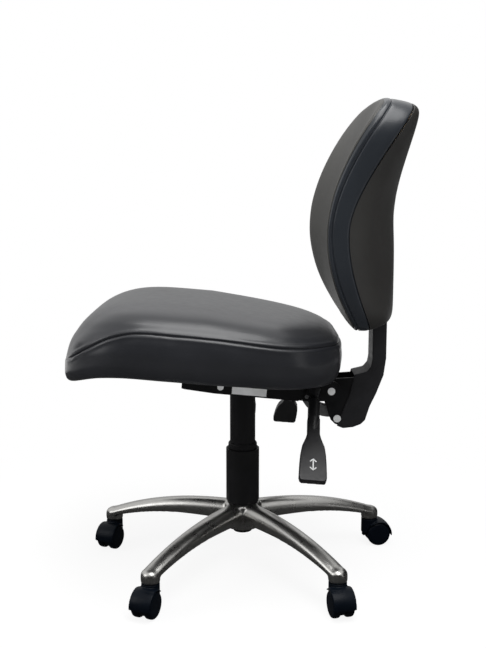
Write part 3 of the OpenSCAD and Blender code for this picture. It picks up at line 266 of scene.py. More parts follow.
seat_vinyl = vinyl("seat_vinyl", (0.016, 0.017, 0.020), (0.022, 0.023, 0.027), 0.29)
back_vinyl = vinyl("back_vinyl", (0.036, 0.035, 0.032), (0.044, 0.043, 0.039), 0.50)
border_vinyl = vinyl("border_vinyl", (0.017, 0.020, 0.025), (0.022, 0.026, 0.032), 0.29)
shell_vinyl = vinyl("shell_vinyl", (0.020, 0.019, 0.018), (0.027, 0.026, 0.024), 0.52)
black_plastic = moulded("black_plastic", (0.010, 0.010, 0.011), 0.46)
sleeve_plastic = moulded("sleeve_plastic", (0.018, 0.018, 0.020), 0.48, grain=700.0, depth=0.00012)
castor_plastic = moulded("castor_plastic", (0.003, 0.005, 0.009), 0.36, grain=600.0, depth=0.00003, shine=0.1)
paddle_plastic = moulded("paddle_plastic", (0.011, 0.011, 0.012), 0.38, grain=900.0, shine=0.32)
white_plastic = moulded("white_plastic", (0.72, 0.73, 0.73), 0.4)
coated_steel = powder_coat("coated_steel", (0.008, 0.008, 0.009))
aluminium = polished_aluminium()
zinc = zinc_plate()
chrome = drawn_steel()
wood = plywood()

NODE_FINISH = {
    "base_star": aluminium, "gas_outer_tube": coated_steel, "guide_bush": white_plastic,
    "thrust_bearing": zinc, "cover_lower": black_plastic, "piston_rod": chrome,
    "retaining_clip": black_plastic, "gas_cylinder": coated_steel, "mechanism_housing": coated_steel,
    "cover_upper": black_plastic, "pivot_pins": zinc, "back_pivot_caps": white_plastic,
    "lock_bolts": zinc, "cover_middle": black_plastic, "valve_button": white_plastic,
    "seat_plate": coated_steel, "seat_pivot_caps": white_plastic, "seat_lock_plates": zinc,
    "seat_bolts": zinc, "seat_board": wood, "armrest_inserts": zinc,
    "seat_underside_cover": black_plastic, "back_bracket": coated_steel, "back_lock_plates": zinc,
    "back_lock_pin": white_plastic, "j_bar": coated_steel, "j_bar_bolts": zinc,
    "j_bar_cover": sleeve_plastic, "back_ratchet": black_plastic, "back_screws": zinc,
    "back_board": wood, "height_lever_rod": zinc, "back_lever_rod": zinc, "seat_lever_rod": zinc,
}


def body_of(node):
    bodies = frame["record"]["behaviour"]["bodies"]
    return next(body for body, nodes in bodies.items() if node in nodes)


def only_material(mesh, material):
    mesh.materials.clear()
    mesh.materials.append(material)


def finish_nodes():
    """Gives the CAD's own meshes their materials."""
    for node, obj in frame["nodes"].items():
        if node in NODE_FINISH:
            only_material(obj.data, NODE_FINISH[node])
        if node.startswith("castor_"):
            only_material(obj.data, zinc if node.endswith("axle") else castor_plastic)
        if node.endswith("_paddle"):
            only_material(obj.data, paddle_plastic)


# Curves and waves


def rounded(a, b, angle, power):
    """Points at the given angles of a rounded rectangle of half sides a and b."""
    c, s = np.cos(angle), np.sin(angle)
    k = (np.abs(c) ** power + np.abs(s) ** power) ** (-1 / power)
    return a * k * c, b * k * s


def round_angles(count):
    """Angles of a full turn in equal steps."""
    return np.arange(count) * 2 * math.pi / count


def turned(a, b, angle):
    """Two coordinates turned by an angle, from the first axis towards the second."""
    c, s = math.cos(angle), math.sin(angle)
    return a * c - b * s, a * s + b * c


def smooth_step(x):
    x = np.clip(x, 0.0, 1.0)
    return x * x * (3 - 2 * x)


def bell(x, width):
    """1 where x is 0, falling away smoothly on both sides."""
    return np.exp(-((x / width) ** 2))


def near(x, reach):
    """1 where x is 0, falling away sharply on both sides."""
    return np.exp(-np.abs(x) / reach)


def waves(x, seed, terms=4):
    """A smooth random wave of x, between -1 and 1."""
    rng = np.random.RandomState(seed)
    total = np.zeros_like(x)
    for k in range(terms):
        total += np.sin(x * (k + 1) * rng.uniform(0.7, 1.3) + rng.uniform(0, 2 * math.pi)) / terms
    return total


def spline(xs, ys, x):
    """Smooth curve through the points (xs, ys), by monotone cubic pieces."""
    xs, ys, x = np.asarray(xs, float), np.asarray(ys, float), np.asarray(x, float)
    h = np.diff(xs)
    slope = np.diff(ys) / h
    tangent = np.zeros_like(ys)
    tangent[0], tangent[-1] = slope[0], slope[-1]
    for k in range(1, len(xs) - 1):
        if slope[k - 1] * slope[k] > 0:
            w1, w2 = 2 * h[k] + h[k - 1], h[k] + 2 * h[k - 1]
            tangent[k] = (w1 + w2) / (w1 / slope[k - 1] + w2 / slope[k])
    k = np.clip(np.searchsorted(xs, x) - 1, 0, len(xs) - 2)
    t = (x - xs[k]) / h[k]
    return ((1 + 2 * t) * (1 - t) ** 2 * ys[k] + t * (1 - t) ** 2 * h[k] * tangent[k]
            + t * t * (3 - 2 * t) * ys[k + 1] + t * t * (t - 1) * h[k] * tangent[k + 1])


def profile_at(profile, place):
    """The other columns of a profile where its first column is at place."""
    columns = np.array(profile).T
    return [spline(columns[0], column, place) for column in columns[1:]]


def from_lean(points):
    """Points of the leaning seat and mechanism, in the chair's frame."""
    x, y, z = np.asarray(points, float).T
    c, s = math.cos(LEAN), math.sin(LEAN)
    return np.stack([x, y * c + z * s, MECH_Z + z * c - y * s], 1)


# Mesh building

EASE_FACTOR = 0.5
BOX_FACES = [(0, 1, 3, 2), (4, 6, 7, 5), (0, 4, 5, 1), (2, 3, 7, 6), (0, 2, 6, 4), (1, 5, 7, 3)]


def add_mesh(name, points, faces, materials, smooth=True):
    mesh = bpy.data.meshes.new(name)
    mesh.from_pydata([tuple(p) for p in points], [], faces)
    mesh.validate()
    for material in materials:
        mesh.materials.append(material)
    for polygon in mesh.polygons:
        polygon.use_smooth = smooth
    obj = bpy.data.objects.new(name, mesh)
    bpy.context.scene.collection.objects.link(obj)
    return obj


def box_corners(xs, ys, zs):
    """Corners in the order of BOX_FACES."""
    return [(x, y, z) for x in xs for y in ys for z in zs]


def ring_faces(rings, n, flip=False):
    """Faces of a stack of rings of n points each, closed by the two points that follow them."""
    first, last = rings * n, rings * n + 1
    top = (rings - 1) * n
    pairs = [(i, (i + 1) % n) for i in range(n)]
    faces = [(row + i, row + j, row + n + j, row + n + i) for row in range(0, top, n) for i, j in pairs]
    for i, j in pairs:
        faces += [(first, j, i), (last, top + i, top + j)]
    return [face[::-1] for face in faces] if flip else faces


def lengths_along(grid):
    """Length of the way from the first ring to each ring, at every point of a stack of rings."""
    steps = np.linalg.norm(np.diff(grid, axis=0), axis=2)
    return np.concatenate([np.zeros((1, grid.shape[1])), np.cumsum(steps, 0)])


def displaced(grid, offset):
    """Points of a stack of rings, moved along the surface normal by offset."""
    around = np.roll(grid, -1, 1) - np.roll(grid, 1, 1)
    along = np.gradient(grid, axis=0)
    normal = np.cross(around, along)
    normal /= np.maximum(np.linalg.norm(normal, axis=2, keepdims=True), 1e-9)
    return (grid + normal * offset[:, :, None]).reshape(-1, 3)


def baked(obj):
    """Replaces an object's mesh by its modified one."""
    bpy.context.view_layer.update()
    graph = bpy.context.evaluated_depsgraph_get()
    mesh = bpy.data.meshes.new_from_object(obj.evaluated_get(graph))
    obj.modifiers.clear()
    obj.data = mesh


def eased(obj, voxel, rounds):
    """Fuses an object's bodies into one skin of the given cell size, and rounds its edges off."""
    remesh = obj.modifiers.new("remesh", "REMESH")
    remesh.mode = "VOXEL"
    remesh.voxel_size = voxel
    smooth = obj.modifiers.new("smooth", "SMOOTH")
    smooth.iterations = rounds
    smooth.factor = EASE_FACTOR
    baked(obj)


def cut_away(obj, cutter):
    """Takes the cutter's body out of an object, and deletes the cutter."""
    cut = obj.modifiers.new("cut", "BOOLEAN")
    cut.operation = "DIFFERENCE"
    cut.object = cutter
    baked(obj)
    bpy.data.objects.remove(cutter)


def shade_smooth(obj):
    for polygon in obj.data.polygons:
        polygon.material_index = 0
        polygon.use_smooth = True


def softened(node, material, voxel, rounds):
    """The piece's own form with its edges eased, as moulded plastic has them."""
    source = frame["nodes"][node]
    obj = bpy.data.objects.new(node + "_eased", source.data.copy())
    obj.matrix_world = source.matrix_world
    bpy.context.scene.collection.objects.link(obj)
    eased(obj, voxel, rounds)
    only_material(obj.data, material)
    shade_smooth(obj)
    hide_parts(node)
    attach(obj, body_of(node))


# Seat cushion

SEAT_POWER = 3.6
SEAT_NARROWING = 0.06
SEAT_DROOP_POWER = 3.4
SEAT_LOW_DROP = 1.15
SEAT_POINTS = 220
SEAT_RINGS_BELOW = 34
SEAT_RINGS_ABOVE = 46
# Place from the lower edge to the top's middle, then shares of the outline, the border's height and the crown
SEAT_PROFILE = [
    (0.00, 0.880, 0.000, 0.00), (0.05, 0.925, 0.004, 0.00), (0.10, 0.962, 0.055, 0.00),
    (0.16, 0.988, 0.170, 0.00), (0.24, 1.000, 0.340, 0.00), (0.32, 1.001, 0.520, 0.00),
    (0.42, 0.992, 0.740, 0.00), (0.50, 0.974, 0.915, 0.02), (0.55, 0.950, 0.985, 0.10),
    (0.61, 0.900, 1.000, 0.40), (0.70, 0.800, 1.000, 0.72), (0.80, 0.620, 1.000, 0.92),
    (0.90, 0.400, 1.000, 0.98), (1.00, 0.000, 1.000, 1.00)]

# The seam's height over the seat's lower edge, before the nose droops
SEAM_SIDE_HEIGHT = 0.084
SEAM_FRONT_HEIGHT = 0.050
SEAM_REAR_HEIGHT = 0.079
SEAM_FALLS_FROM = -0.205
SEAM_FALLS_TO = -0.325
SEAM_REAR_L = 0.05
SEAM_DIP = 0.008
SEAM_DIP_Y = 0.075
SEAM_DIP_L = 0.085
SEAM_BLUR = 4
PLACES = 400
SIDE_PLACE = 160

# The seam's groove, the rolls beside it, the gathers under it, and the vinyl's slack
SEAM_W = 0.0016
SEAM_DEEP = 0.0022
SEAM_ENDS = -0.330
SEAM_END_L = 0.022
SEAM_LEAST = 0.1
ROLL_H = 0.0011
ROLL_AT = 0.006
ROLL_W = 0.004
GATHER_H = 0.00055
GATHER_PITCH = 0.0125
GATHER_WANDER = 2.2
GATHER_WANDER_RATE = 90
GATHER_BELOW = 0.005
GATHER_REACH = 0.007
GATHER_FROM = -0.10
GATHER_FROM_L = 0.05
SAG_H = 0.0009
SAG_RATE_Y = 16
SAG_RATE_Z = 24
SAG_SEED = 3
RIPPLE_H = 0.0004
RIPPLE_RATE = 9
RIPPLE_REACH = 0.02
RIPPLE_SEED = 5


def seat_surface(place, angle):
    """Points of the seat's surface at profile places and angles round it."""
    share, border, crown = profile_at(SEAT_PROFILE, place)
    x, y = rounded(SEAT_W / 2, SEAT_D / 2, angle, SEAT_POWER)
    x = x * share * (1 - SEAT_NARROWING * np.maximum(0, y / (SEAT_D / 2)))
    y = SEAT_MID + y * share
    front = SEAT_MID - SEAT_D / 2
    droop = np.maximum(0, (front + SEAT_NOSE_L - y) / SEAT_NOSE_L) ** SEAT_DROOP_POWER
    crown_h = SEAT_CROWN + (SEAT_REAR_CROWN - SEAT_CROWN) * np.maximum(0, (y - SEAT_MID) / (SEAT_D / 2))
    z = MECH_H + SEAT_BORDER * border + crown_h * crown
    z = z - SEAT_NOSE_DROP * droop * (SEAT_LOW_DROP + (1 - SEAT_LOW_DROP) * border)
    return np.stack([x, y, z], -1)


def seam_places(angle):
    """Profile place of the seam at each angle: dipping along the sides, lower at the front and the rear."""
    places = np.linspace(0, 1, PLACES)
    _, border, crown = profile_at(SEAT_PROFILE, places)
    y = seat_surface(places[SIDE_PLACE], angle)[:, 1]
    front = smooth_step((SEAM_FALLS_FROM - y) / (SEAM_FALLS_FROM - SEAM_FALLS_TO))
    rear = smooth_step((y - SEAT_REAR + SEAM_REAR_L) / SEAM_REAR_L)
    height = SEAM_SIDE_HEIGHT + (SEAM_FRONT_HEIGHT - SEAM_SIDE_HEIGHT) * front
    height += (SEAM_REAR_HEIGHT - SEAM_SIDE_HEIGHT) * rear
    height -= SEAM_DIP * bell(y - SEAM_DIP_Y, SEAM_DIP_L)
    seam = np.interp(height, SEAT_BORDER * border + SEAT_CROWN * crown, places)
    return sum(np.roll(seam, k) for k in range(-SEAM_BLUR, SEAM_BLUR + 1)) / (2 * SEAM_BLUR + 1)


def seat_rings(angle):
    """Rings from the lower edge to near the top's middle, close together at the seam."""
    seam = seam_places(angle)
    below = 1 - (1 - np.linspace(0, 1, SEAT_RINGS_BELOW)) ** 2
    above = np.linspace(0, 1, SEAT_RINGS_ABOVE)[1:-1] ** 2
    rings = [seat_surface(seam * share, angle) for share in below]
    rings += [seat_surface(seam + (1 - seam) * share, angle) for share in above]
    return np.array(rings)


def seat_relief(grid, angle):
    """How far each point of the seat stands out for its seam, rolls, gathers and slack."""
    along = lengths_along(grid)
    distance = along - along[SEAT_RINGS_BELOW - 1]
    y, z = grid[:, :, 1], grid[:, :, 2]
    under_seam = (distance < 0).astype(float)
    fades = SEAM_LEAST + (1 - SEAM_LEAST) * smooth_step((y - SEAM_ENDS) / SEAM_END_L)
    groove = -SEAM_DEEP * fades * bell(distance, SEAM_W)
    rolls = ROLL_H * fades * bell(np.abs(distance) - ROLL_AT, ROLL_W)
    gathers = np.sin(y * 2 * math.pi / GATHER_PITCH + GATHER_WANDER * np.sin(y * GATHER_WANDER_RATE))
    gathers *= GATHER_H * near(distance + GATHER_BELOW, GATHER_REACH)
    gathers *= under_seam * smooth_step((GATHER_FROM - y) / GATHER_FROM_L)
    sag = SAG_H * under_seam * waves(y * SAG_RATE_Y + z * SAG_RATE_Z, SAG_SEED)
    ripple = RIPPLE_H * waves(angle * RIPPLE_RATE, RIPPLE_SEED) * near(distance, RIPPLE_REACH)
    return groove + rolls + gathers + sag + ripple


def seat_cushion():
    angle = round_angles(SEAT_POINTS)
    grid = seat_rings(angle)
    lower_middle = [0, SEAT_MID, seat_surface(0.0, 0.0)[2]]
    top_middle = seat_surface(1.0, 0.0)
    points = np.concatenate([displaced(grid, seat_relief(grid, angle)), [lower_middle, top_middle]])
    faces = ring_faces(len(grid), SEAT_POINTS)
    obj = add_mesh("seat_cushion_vinyl", from_lean(points), faces, [seat_vinyl])
    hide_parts("seat_cushion")
    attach(obj, "seat")


# Back: pad with a wrapped front panel, a border band and the outer shell

BACK_POWER = 8
BACK_POINTS = 240
BACK_CROWN = 0.05
TOP_DROP = 0.012
FRONT_ROUND = 0.320
HOLLOW_LOW = 0.182
HOLLOW_HIGH = 0.250
BORDER_SLIM = 0.015
EDGE_Y = 0.011
EDGE_ROUND = 0.055
EDGE_LOW = 0.47
EDGE_HIGH = 0.7


def back_outline(share, angle):
    x, z = rounded(BACK_W / 2, BACK_H / 2, angle, BACK_POWER)
    x = x * share
    return x, BACK_MID_Z + z * share * (1 - BACK_CROWN * (x / (BACK_W / 2)) ** 2)


def wing_front(z):
    bend = (z - LUMBAR_Z) * math.sqrt(FRONT_ROUND / BACK_CURVE_R)
    return WING_Y - FRONT_ROUND + np.hypot(FRONT_ROUND, bend)


def wing_rear(z):
    bend = (z - LUMBAR_Z) * np.where(z < LUMBAR_Z, EDGE_LOW, EDGE_HIGH)
    return EDGE_Y - EDGE_ROUND + np.hypot(EDGE_ROUND, bend)


def back_front(x, z):
    reach = np.where(z < LUMBAR_Z, HOLLOW_LOW, HOLLOW_HIGH)
    hollow = BACK_HOLLOW * (1 - ((z - LUMBAR_Z) / reach) ** 2)
    return wing_front(z) + hollow * (1 - (x / (BACK_W / 2)) ** 2)


def back_border(x, z):
    """Depth of the pad's border: one amount at the middle, another at the wings."""
    middle = BACK_BORDER - BORDER_SLIM * (np.maximum(0, LUMBAR_Z - z) / LUMBAR_H) ** 2
    side = wing_rear(z) - wing_front(z)
    return middle + (side - middle) * (x / (BACK_W / 2)) ** 2


def rear_z(z):
    """Height at the rear edge of what is at z in front; the top slopes down to the rear."""
    return z - TOP_DROP * (np.maximum(0, z - LUMBAR_Z) / (BACK_H - LUMBAR_H)) ** 2


def back_surface(share, depth, angle):
    x, z = back_outline(share, angle)
    y = back_front(x, z) + back_border(x, z) * depth
    return np.stack([x, y, z + (rear_z(z) - z) * depth], -1)


# Place from the rear edge to the front's middle, then shares of the outline and of the border's depth
PAD_PROFILE = [
    (0.00, 0.930, 1.000), (0.05, 0.985, 0.985), (0.10, 1.002, 0.930), (0.20, 1.007, 0.700),
    (0.30, 1.006, 0.460), (0.36, 1.002, 0.320), (0.41, 0.998, 0.215), (0.46, 0.990, 0.110),
    (0.50, 0.978, 0.050), (0.56, 0.955, 0.015), (0.64, 0.910, 0.003), (0.74, 0.800, 0.000),
    (0.82, 0.640, -0.008), (0.90, 0.400, -0.022), (1.00, 0.000, -0.032)]
# Rings of the pad: from and to which place, and how many
PAD_RINGS = [(0, 0.30, 16), (0.305, 0.50, 40), (0.51, 0.99, 40)]
PAD_SEAM = 0.36
PAD_SEAM_DEEP = 0.0022
PAD_WELT = 0.46
PAD_WELT_DEEP = 0.0016
PAD_GROOVE_W = 0.0014
PAD_ROLL_H = 0.0010
PAD_ROLL_W = 0.004
PAD_RIPPLE_H = 0.0004
PAD_RIPPLE_RATE = 7
PAD_RIPPLE_REACH = 0.02
PAD_RIPPLE_SEED = 11


def pad_relief(grid, places, angle):
    """How far each point of the pad stands out for its two grooves, the roll between them and ripples."""
    along = lengths_along(grid)

    def distance_from(place):
        return along - along[np.argmin(np.abs(places - place))]

    seam = -PAD_SEAM_DEEP * bell(distance_from(PAD_SEAM), PAD_GROOVE_W)
    welt = -PAD_WELT_DEEP * bell(distance_from(PAD_WELT), PAD_GROOVE_W)
    roll = PAD_ROLL_H * bell(distance_from((PAD_SEAM + PAD_WELT) / 2), PAD_ROLL_W)
    ripple = PAD_RIPPLE_H * waves(angle * PAD_RIPPLE_RATE, PAD_RIPPLE_SEED)
    return seam + welt + roll + ripple * near(distance_from(PAD_SEAM), PAD_RIPPLE_REACH)


def back_cushion():
    n = BACK_POINTS
    angle = round_angles(n)
    places = np.concatenate([np.linspace(*stretch) for stretch in PAD_RINGS])
    shares, depths = profile_at(PAD_PROFILE, places)
    grid = np.array([back_surface(share, depth, angle) for share, depth in zip(shares, depths)])
    front_y = back_front(0, BACK_MID_Z)
    border = back_border(0, BACK_MID_Z)
    rear_middle = [0, front_y + border, rear_z(BACK_MID_Z)]
    front_middle = [0, front_y + PAD_PROFILE[-1][-1] * border, BACK_MID_Z]
    points = np.concatenate([displaced(grid, pad_relief(grid, places, angle)), [rear_middle, front_middle]])
    faces = ring_faces(len(grid), n)
    obj = add_mesh("back_cushion_vinyl", points + np.array(back_pivot), faces, [back_vinyl, border_vinyl])
    for polygon in obj.data.polygons:
        ring = min(polygon.vertices) // n
        if ring < len(places) and places[ring] < PAD_WELT:
            polygon.material_index = 1
    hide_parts("back_cushion")
    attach(obj, "back")


SHELL_REAR_Y = 0.118
SHELL_LEAN_Z = LUMBAR_Z + 0.057
SHELL_LEAN_R = 0.410
SHELL_EDGE_POWER = 26
SHELL_ROUND = 0.77
SHELL_WALL = 0.004
SHELL_WALL_RATE = 4
SHELL_CLEAR = 0.0003
SHELL_RINGS = 60
SHELL_RING_POWER = 2.2
# The slot that the sleeve passes: clear beside it, from and to behind the pivot, and over the lower edge
SLOT_GAP = 0.0014
SLOT_Y = (0.0801, 0.1104)
SLOT_Z = (-0.01, 0.037)


def shell_surface(share, inset, wall, angle):
    """Points of the shell's outer side, or with an inset and a wall of its inner side."""
    x, z = back_outline(share * (1 - inset), angle)
    edge_x, edge_z = back_outline(1 - inset, angle)
    rim = back_front(edge_x, edge_z) + back_border(edge_x, edge_z) + SHELL_CLEAR
    depth = (1 - SHELL_ROUND * (x / (BACK_W / 2)) ** 2) * (1 - share ** SHELL_EDGE_POWER)
    z = rear_z(z)
    rear = SHELL_REAR_Y + np.maximum(0, z - SHELL_LEAN_Z) ** 2 / (2 * SHELL_LEAN_R)
    y = rim + (rear - rim) * depth - wall * np.minimum(1, depth * SHELL_WALL_RATE)
    return np.stack([x, y, z], -1)


def slot_cutter():
    low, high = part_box("j_bar_cover")
    lower_edge = back_pivot.z + BACK_LOW
    xs = (low.x - SLOT_GAP, high.x + SLOT_GAP)
    ys = [back_pivot.y + y for y in SLOT_Y]
    zs = [lower_edge + z for z in SLOT_Z]
    return add_mesh("slot", box_corners(xs, ys, zs), BOX_FACES, [], False)


def back_shell():
    angle = round_angles(BACK_POINTS)
    shares = 1 - np.linspace(0, 1, SHELL_RINGS)[:-1] ** SHELL_RING_POWER
    outer = [shell_surface(share, 0.0, 0.0, angle) for share in shares[::-1]]
    inner = [shell_surface(share, SHELL_WALL / (BACK_W / 2), SHELL_WALL, angle) for share in shares]
    middles = [(0, SHELL_REAR_Y, BACK_MID_Z), (0, SHELL_REAR_Y - SHELL_WALL, BACK_MID_Z)]
    points = np.concatenate(outer + inner + [middles]) + np.array(back_pivot)
    faces = ring_faces(2 * len(shares), BACK_POINTS, flip=True)
    obj = add_mesh("back_shell_vinyl", points, faces, [shell_vinyl])
    cut_away(obj, slot_cutter())
    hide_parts("back_shell")
    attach(obj, "back")


# Star base: arms, collars and hub, fused and softened like a casting

ARM_ROOT_W = 0.049
ARM_ROOT_DEPTH = 0.041
ARM_END_DEPTH = 0.017
ARM_RISE = 0.045
ARM_FLAT = 0.1
ARM_ARCH_POWER = 2.3
ARM_TAPER_POWER = 0.6
ARM_STARTS = 0.05
ARM_RINGS = 56
ARM_POINTS = 48
# Half of an arm's section: from the middle of its hollow underside, round foot and side, to the top's middle
ARM_SECTION = [
    (0.00, 0.46), (0.40, 0.44), (0.62, 0.36), (0.76, 0.00), (0.97, 0.00), (1.00, 0.28), (0.99, 0.46),
    (0.92, 0.62), (0.78, 0.76), (0.60, 0.89), (0.42, 0.96), (0.22, 0.99), (0.00, 1.00)]
COLLAR_EDGE = 0.0012
HUB_EDGE = 0.004
# Degrees that an arm's round end and a collar's dome are turned through
END_FIRST_TURN = 10
END_TURN = 84
END_RINGS = 9
TUBE_BORE_R = 0.0246
TUBE_BORE_LOW = HUB_Z - 0.02
COVER_BORE_R = 0.0341
BORE_TOP = HUB_Z + 0.3
TURNED_POINTS = 48
BORE_POINTS = 96
CASTING_VOXEL = 0.0015
CASTING_ROUNDS = 30


def arm_turn(number):
    """Direction of an arm, counted from 0."""
    return math.radians(BASE_TURN + FIRST_ARM_TURN + 360 / ARMS * number)


def arm_stations():
    """Place along the arm, half width, top and depth: the arm, then its round end about the collar."""
    end_top = CASTOR_H + COLLAR_H + COLLAR_DOME
    for s in np.linspace(ARM_STARTS, 1.0, ARM_RINGS):
        top = end_top + ARM_RISE * (1 - max(0, (s - ARM_FLAT) / (1 - ARM_FLAT)) ** ARM_ARCH_POWER)
        width = ARM_ROOT_W + (2 * COLLAR_R - ARM_ROOT_W) * s ** ARM_TAPER_POWER
        depth = ARM_ROOT_DEPTH + (ARM_END_DEPTH - ARM_ROOT_DEPTH) * s
        yield ARM_REACH * s, width / 2, top, depth
    for turn in np.radians(np.linspace(END_FIRST_TURN, END_TURN, END_RINGS)):
        drop = COLLAR_DOME * (1 - math.cos(turn))
        place = ARM_REACH + COLLAR_R * math.sin(turn)
        yield place, COLLAR_R * math.cos(turn), end_top - drop, ARM_END_DEPTH - drop


def arm_section():
    """Shares of the half width and of the depth all round an arm's section."""
    half_x, half_z = np.array(ARM_SECTION).T
    places = np.linspace(0, 1, len(ARM_SECTION))
    samples = np.linspace(0, 1, ARM_POINTS // 2 + 1)
    x, z = spline(places, half_x, samples), spline(places, half_z, samples)
    return np.concatenate([x, -x[-2:0:-1]]), np.concatenate([z, z[-2:0:-1]])


def arm_mesh(turn):
    across, up = arm_section()
    rings = [np.stack([np.full_like(across, place), across * width, top - depth * (1 - up)], 1)
             for place, width, top, depth in arm_stations()]
    ends = [rings[0].mean(0), rings[-1].mean(0)]
    x, y, z = np.concatenate(rings + [ends]).T
    return np.stack([*turned(x, y, turn), z], 1), ring_faces(len(rings), len(across))


def revolved(profile, centre, count=TURNED_POINTS):
    """Points and faces of a closed body turned about a vertical axis; its profile runs bottom to top."""
    x, y = centre
    angle = round_angles(count)
    rings = [np.stack([x + r * np.cos(angle), y + r * np.sin(angle), np.full(count, z)], 1)
             for r, z in profile]
    ends = [(x, y, profile[0][1]), (x, y, profile[-1][1])]
    return np.concatenate(rings + [ends]), ring_faces(len(profile), count)


def base_bodies():
    """Points and faces of each arm, its collar, and the hub."""
    collar = [(COLLAR_R - COLLAR_EDGE, CASTOR_H), (COLLAR_R, CASTOR_H + COLLAR_EDGE)]
    collar += [(COLLAR_R * math.cos(a), CASTOR_H + COLLAR_H + COLLAR_DOME * math.sin(a))
               for a in np.linspace(0, math.radians(END_TURN), END_RINGS)]
    for number in range(ARMS):
        turn = arm_turn(number)
        yield arm_mesh(turn)
        yield revolved(collar, (ARM_REACH * math.cos(turn), ARM_REACH * math.sin(turn)))
    top = HUB_Z + HUB_H
    yield revolved([(HUB_R, HUB_Z), (HUB_R, top - HUB_EDGE), (HUB_R - HUB_EDGE, top)], (0, 0))


def star_base():
    points, faces, start = [], [], 0
    for body_points, body_faces in base_bodies():
        points.append(body_points)
        faces += [tuple(v + start for v in face) for face in body_faces]
        start += len(body_points)
    obj = add_mesh("star_base_casting", np.concatenate(points), faces, [aluminium])
    eased(obj, CASTING_VOXEL, CASTING_ROUNDS)
    for radius, low in ((TUBE_BORE_R, TUBE_BORE_LOW), (COVER_BORE_R, HUB_Z + HUB_H)):
        bore_points, bore_faces = revolved([(radius, low), (radius, BORE_TOP)], (0, 0), BORE_POINTS)
        cut_away(obj, add_mesh("bore", bore_points, bore_faces, [aluminium]))
    shade_smooth(obj)
    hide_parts("base_star")
    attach(obj, "base")


# Castors: smooth wheels with closed faces, and hoods with eased edges

# Directions that the castors trail in, in degrees
CASTOR_TURNS = [-22, 13, 100, 180, -24]
CASTOR_TRAIL = 0.0175
WEB_W = 0.010
WHEEL_GAP = 0.0005
WHEEL_POINTS = 56
# From the inner face outwards: radius share and place across the wheel
WHEEL_PROFILE = [
    (0.30, 0.0005), (0.86, 0.0005), (0.95, 0.0012), (0.99, 0.0030), (1.00, 0.0060),
    (1.00, 0.0085), (0.99, 0.0108), (0.965, 0.0126), (0.92, 0.0138), (0.85, 0.0145),
    (0.76, 0.0148), (0.55, 0.0149), (0.30, 0.0150)]
# Cell size and smoothing rounds of the pieces that are only eased
HOOD_EASE = (0.0010, 6)
PADDLE_EASE = (0.0011, 7)
SLEEVE_EASE = (0.0015, 4)


def castor_wheel(number, side):
    node = f"castor_{number}_wheel_{'left' if side > 0 else 'right'}"
    arm = arm_turn(number - 1)
    turn = math.radians(CASTOR_TURNS[number - 1])
    hub = np.array([ARM_REACH * math.cos(arm) + CASTOR_TRAIL * math.cos(turn),
                    ARM_REACH * math.sin(arm) + CASTOR_TRAIL * math.sin(turn), WHEEL_R])
    along = np.array([math.cos(turn), math.sin(turn), 0.0])
    # With the trail along +X, the left wheel is the one on the -Y side
    across = np.array([math.sin(turn), -math.cos(turn), 0.0]) * side
    up = np.array([0.0, 0.0, 1.0])
    angle = round_angles(WHEEL_POINTS)[:, None]
    circle = np.cos(angle) * along + np.sin(angle) * up
    centres = [hub + across * (WEB_W / 2 + WHEEL_GAP + place) for _, place in WHEEL_PROFILE]
    rings = [centre + WHEEL_R * share * circle for centre, (share, _) in zip(centres, WHEEL_PROFILE)]
    points = np.concatenate(rings + [[centres[0], centres[-1]]])
    faces = ring_faces(len(rings), WHEEL_POINTS, flip=side > 0)
    obj = add_mesh(node + "_smooth", points, faces, [castor_plastic])
    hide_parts(node)
    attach(obj, body_of(node))


def castors():
    for number in range(1, ARMS + 1):
        softened(f"castor_{number}_hood", castor_plastic, *HOOD_EASE)
        for side in (1, -1):
            castor_wheel(number, side)


def levers():
    for lever in ("seat", "back", "height"):
        softened(lever + "_lever_paddle", paddle_plastic, *PADDLE_EASE)


# A plain double arrow on the near lever, in the lever's own frame

LEVER_DROP = math.radians(37)
LEVER_SWEEP = math.radians(1)
LEVER_AT = (0.0455, 0.138, 0.028)
LEVER_BEND = 0.009
LEVER_BEND_R = 0.014
PADDLE_T = 0.012
MARK_W = 0.0022
MARK_SUNK = 0.0006
MARK_PROUD = 0.0002
# Each stroke's two ends, along and across the blade
MARKS = [
    (0.167, 0.0, 0.191, 0.0), (0.167, 0.0, 0.172, -0.005), (0.167, 0.0, 0.172, 0.005),
    (0.191, 0.0, 0.186, -0.005), (0.191, 0.0, 0.186, 0.005)]
MARK_FACES = [(3, 2, 1, 0), (4, 5, 6, 7), (0, 1, 5, 4), (1, 2, 6, 5), (2, 3, 7, 6), (3, 0, 4, 7)]


def lever_points(points):
    """Points of the near lever's blade frame, in the chair's frame."""
    x, y, z = np.asarray(points, float).T
    along, up = turned(x, z, -LEVER_DROP)
    along = along + LEVER_BEND + LEVER_BEND_R * math.sin(LEVER_DROP)
    up = up + LEVER_BEND_R * (math.cos(LEVER_DROP) - 1)
    swept = np.stack([*turned(along, y, -LEVER_SWEEP), up], 1)
    return from_lean(swept + np.array(LEVER_AT))


def lever_marks():
    points, faces = [], []
    for x0, y0, x1, y1 in MARKS:
        start, end = np.array([x0, y0]), np.array([x1, y1])
        ahead = (end - start) / np.linalg.norm(end - start) * MARK_W / 2
        aside = np.array([-ahead[1], ahead[0]])
        corners = [start - ahead - aside, end + ahead - aside, end + ahead + aside, start - ahead + aside]
        faces += [tuple(len(points) + k for k in face) for face in MARK_FACES]
        points += [(*corner, PADDLE_T / 2 - MARK_SUNK) for corner in corners]
        points += [(*corner, PADDLE_T / 2 + MARK_PROUD) for corner in corners]
    obj = add_mesh("lever_marks", lever_points(points), faces, [white_plastic], False)
    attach(obj, "seat_lever")


# A blank pale plate on the near side flange: from and to along X, Y and Z in the leaning frame

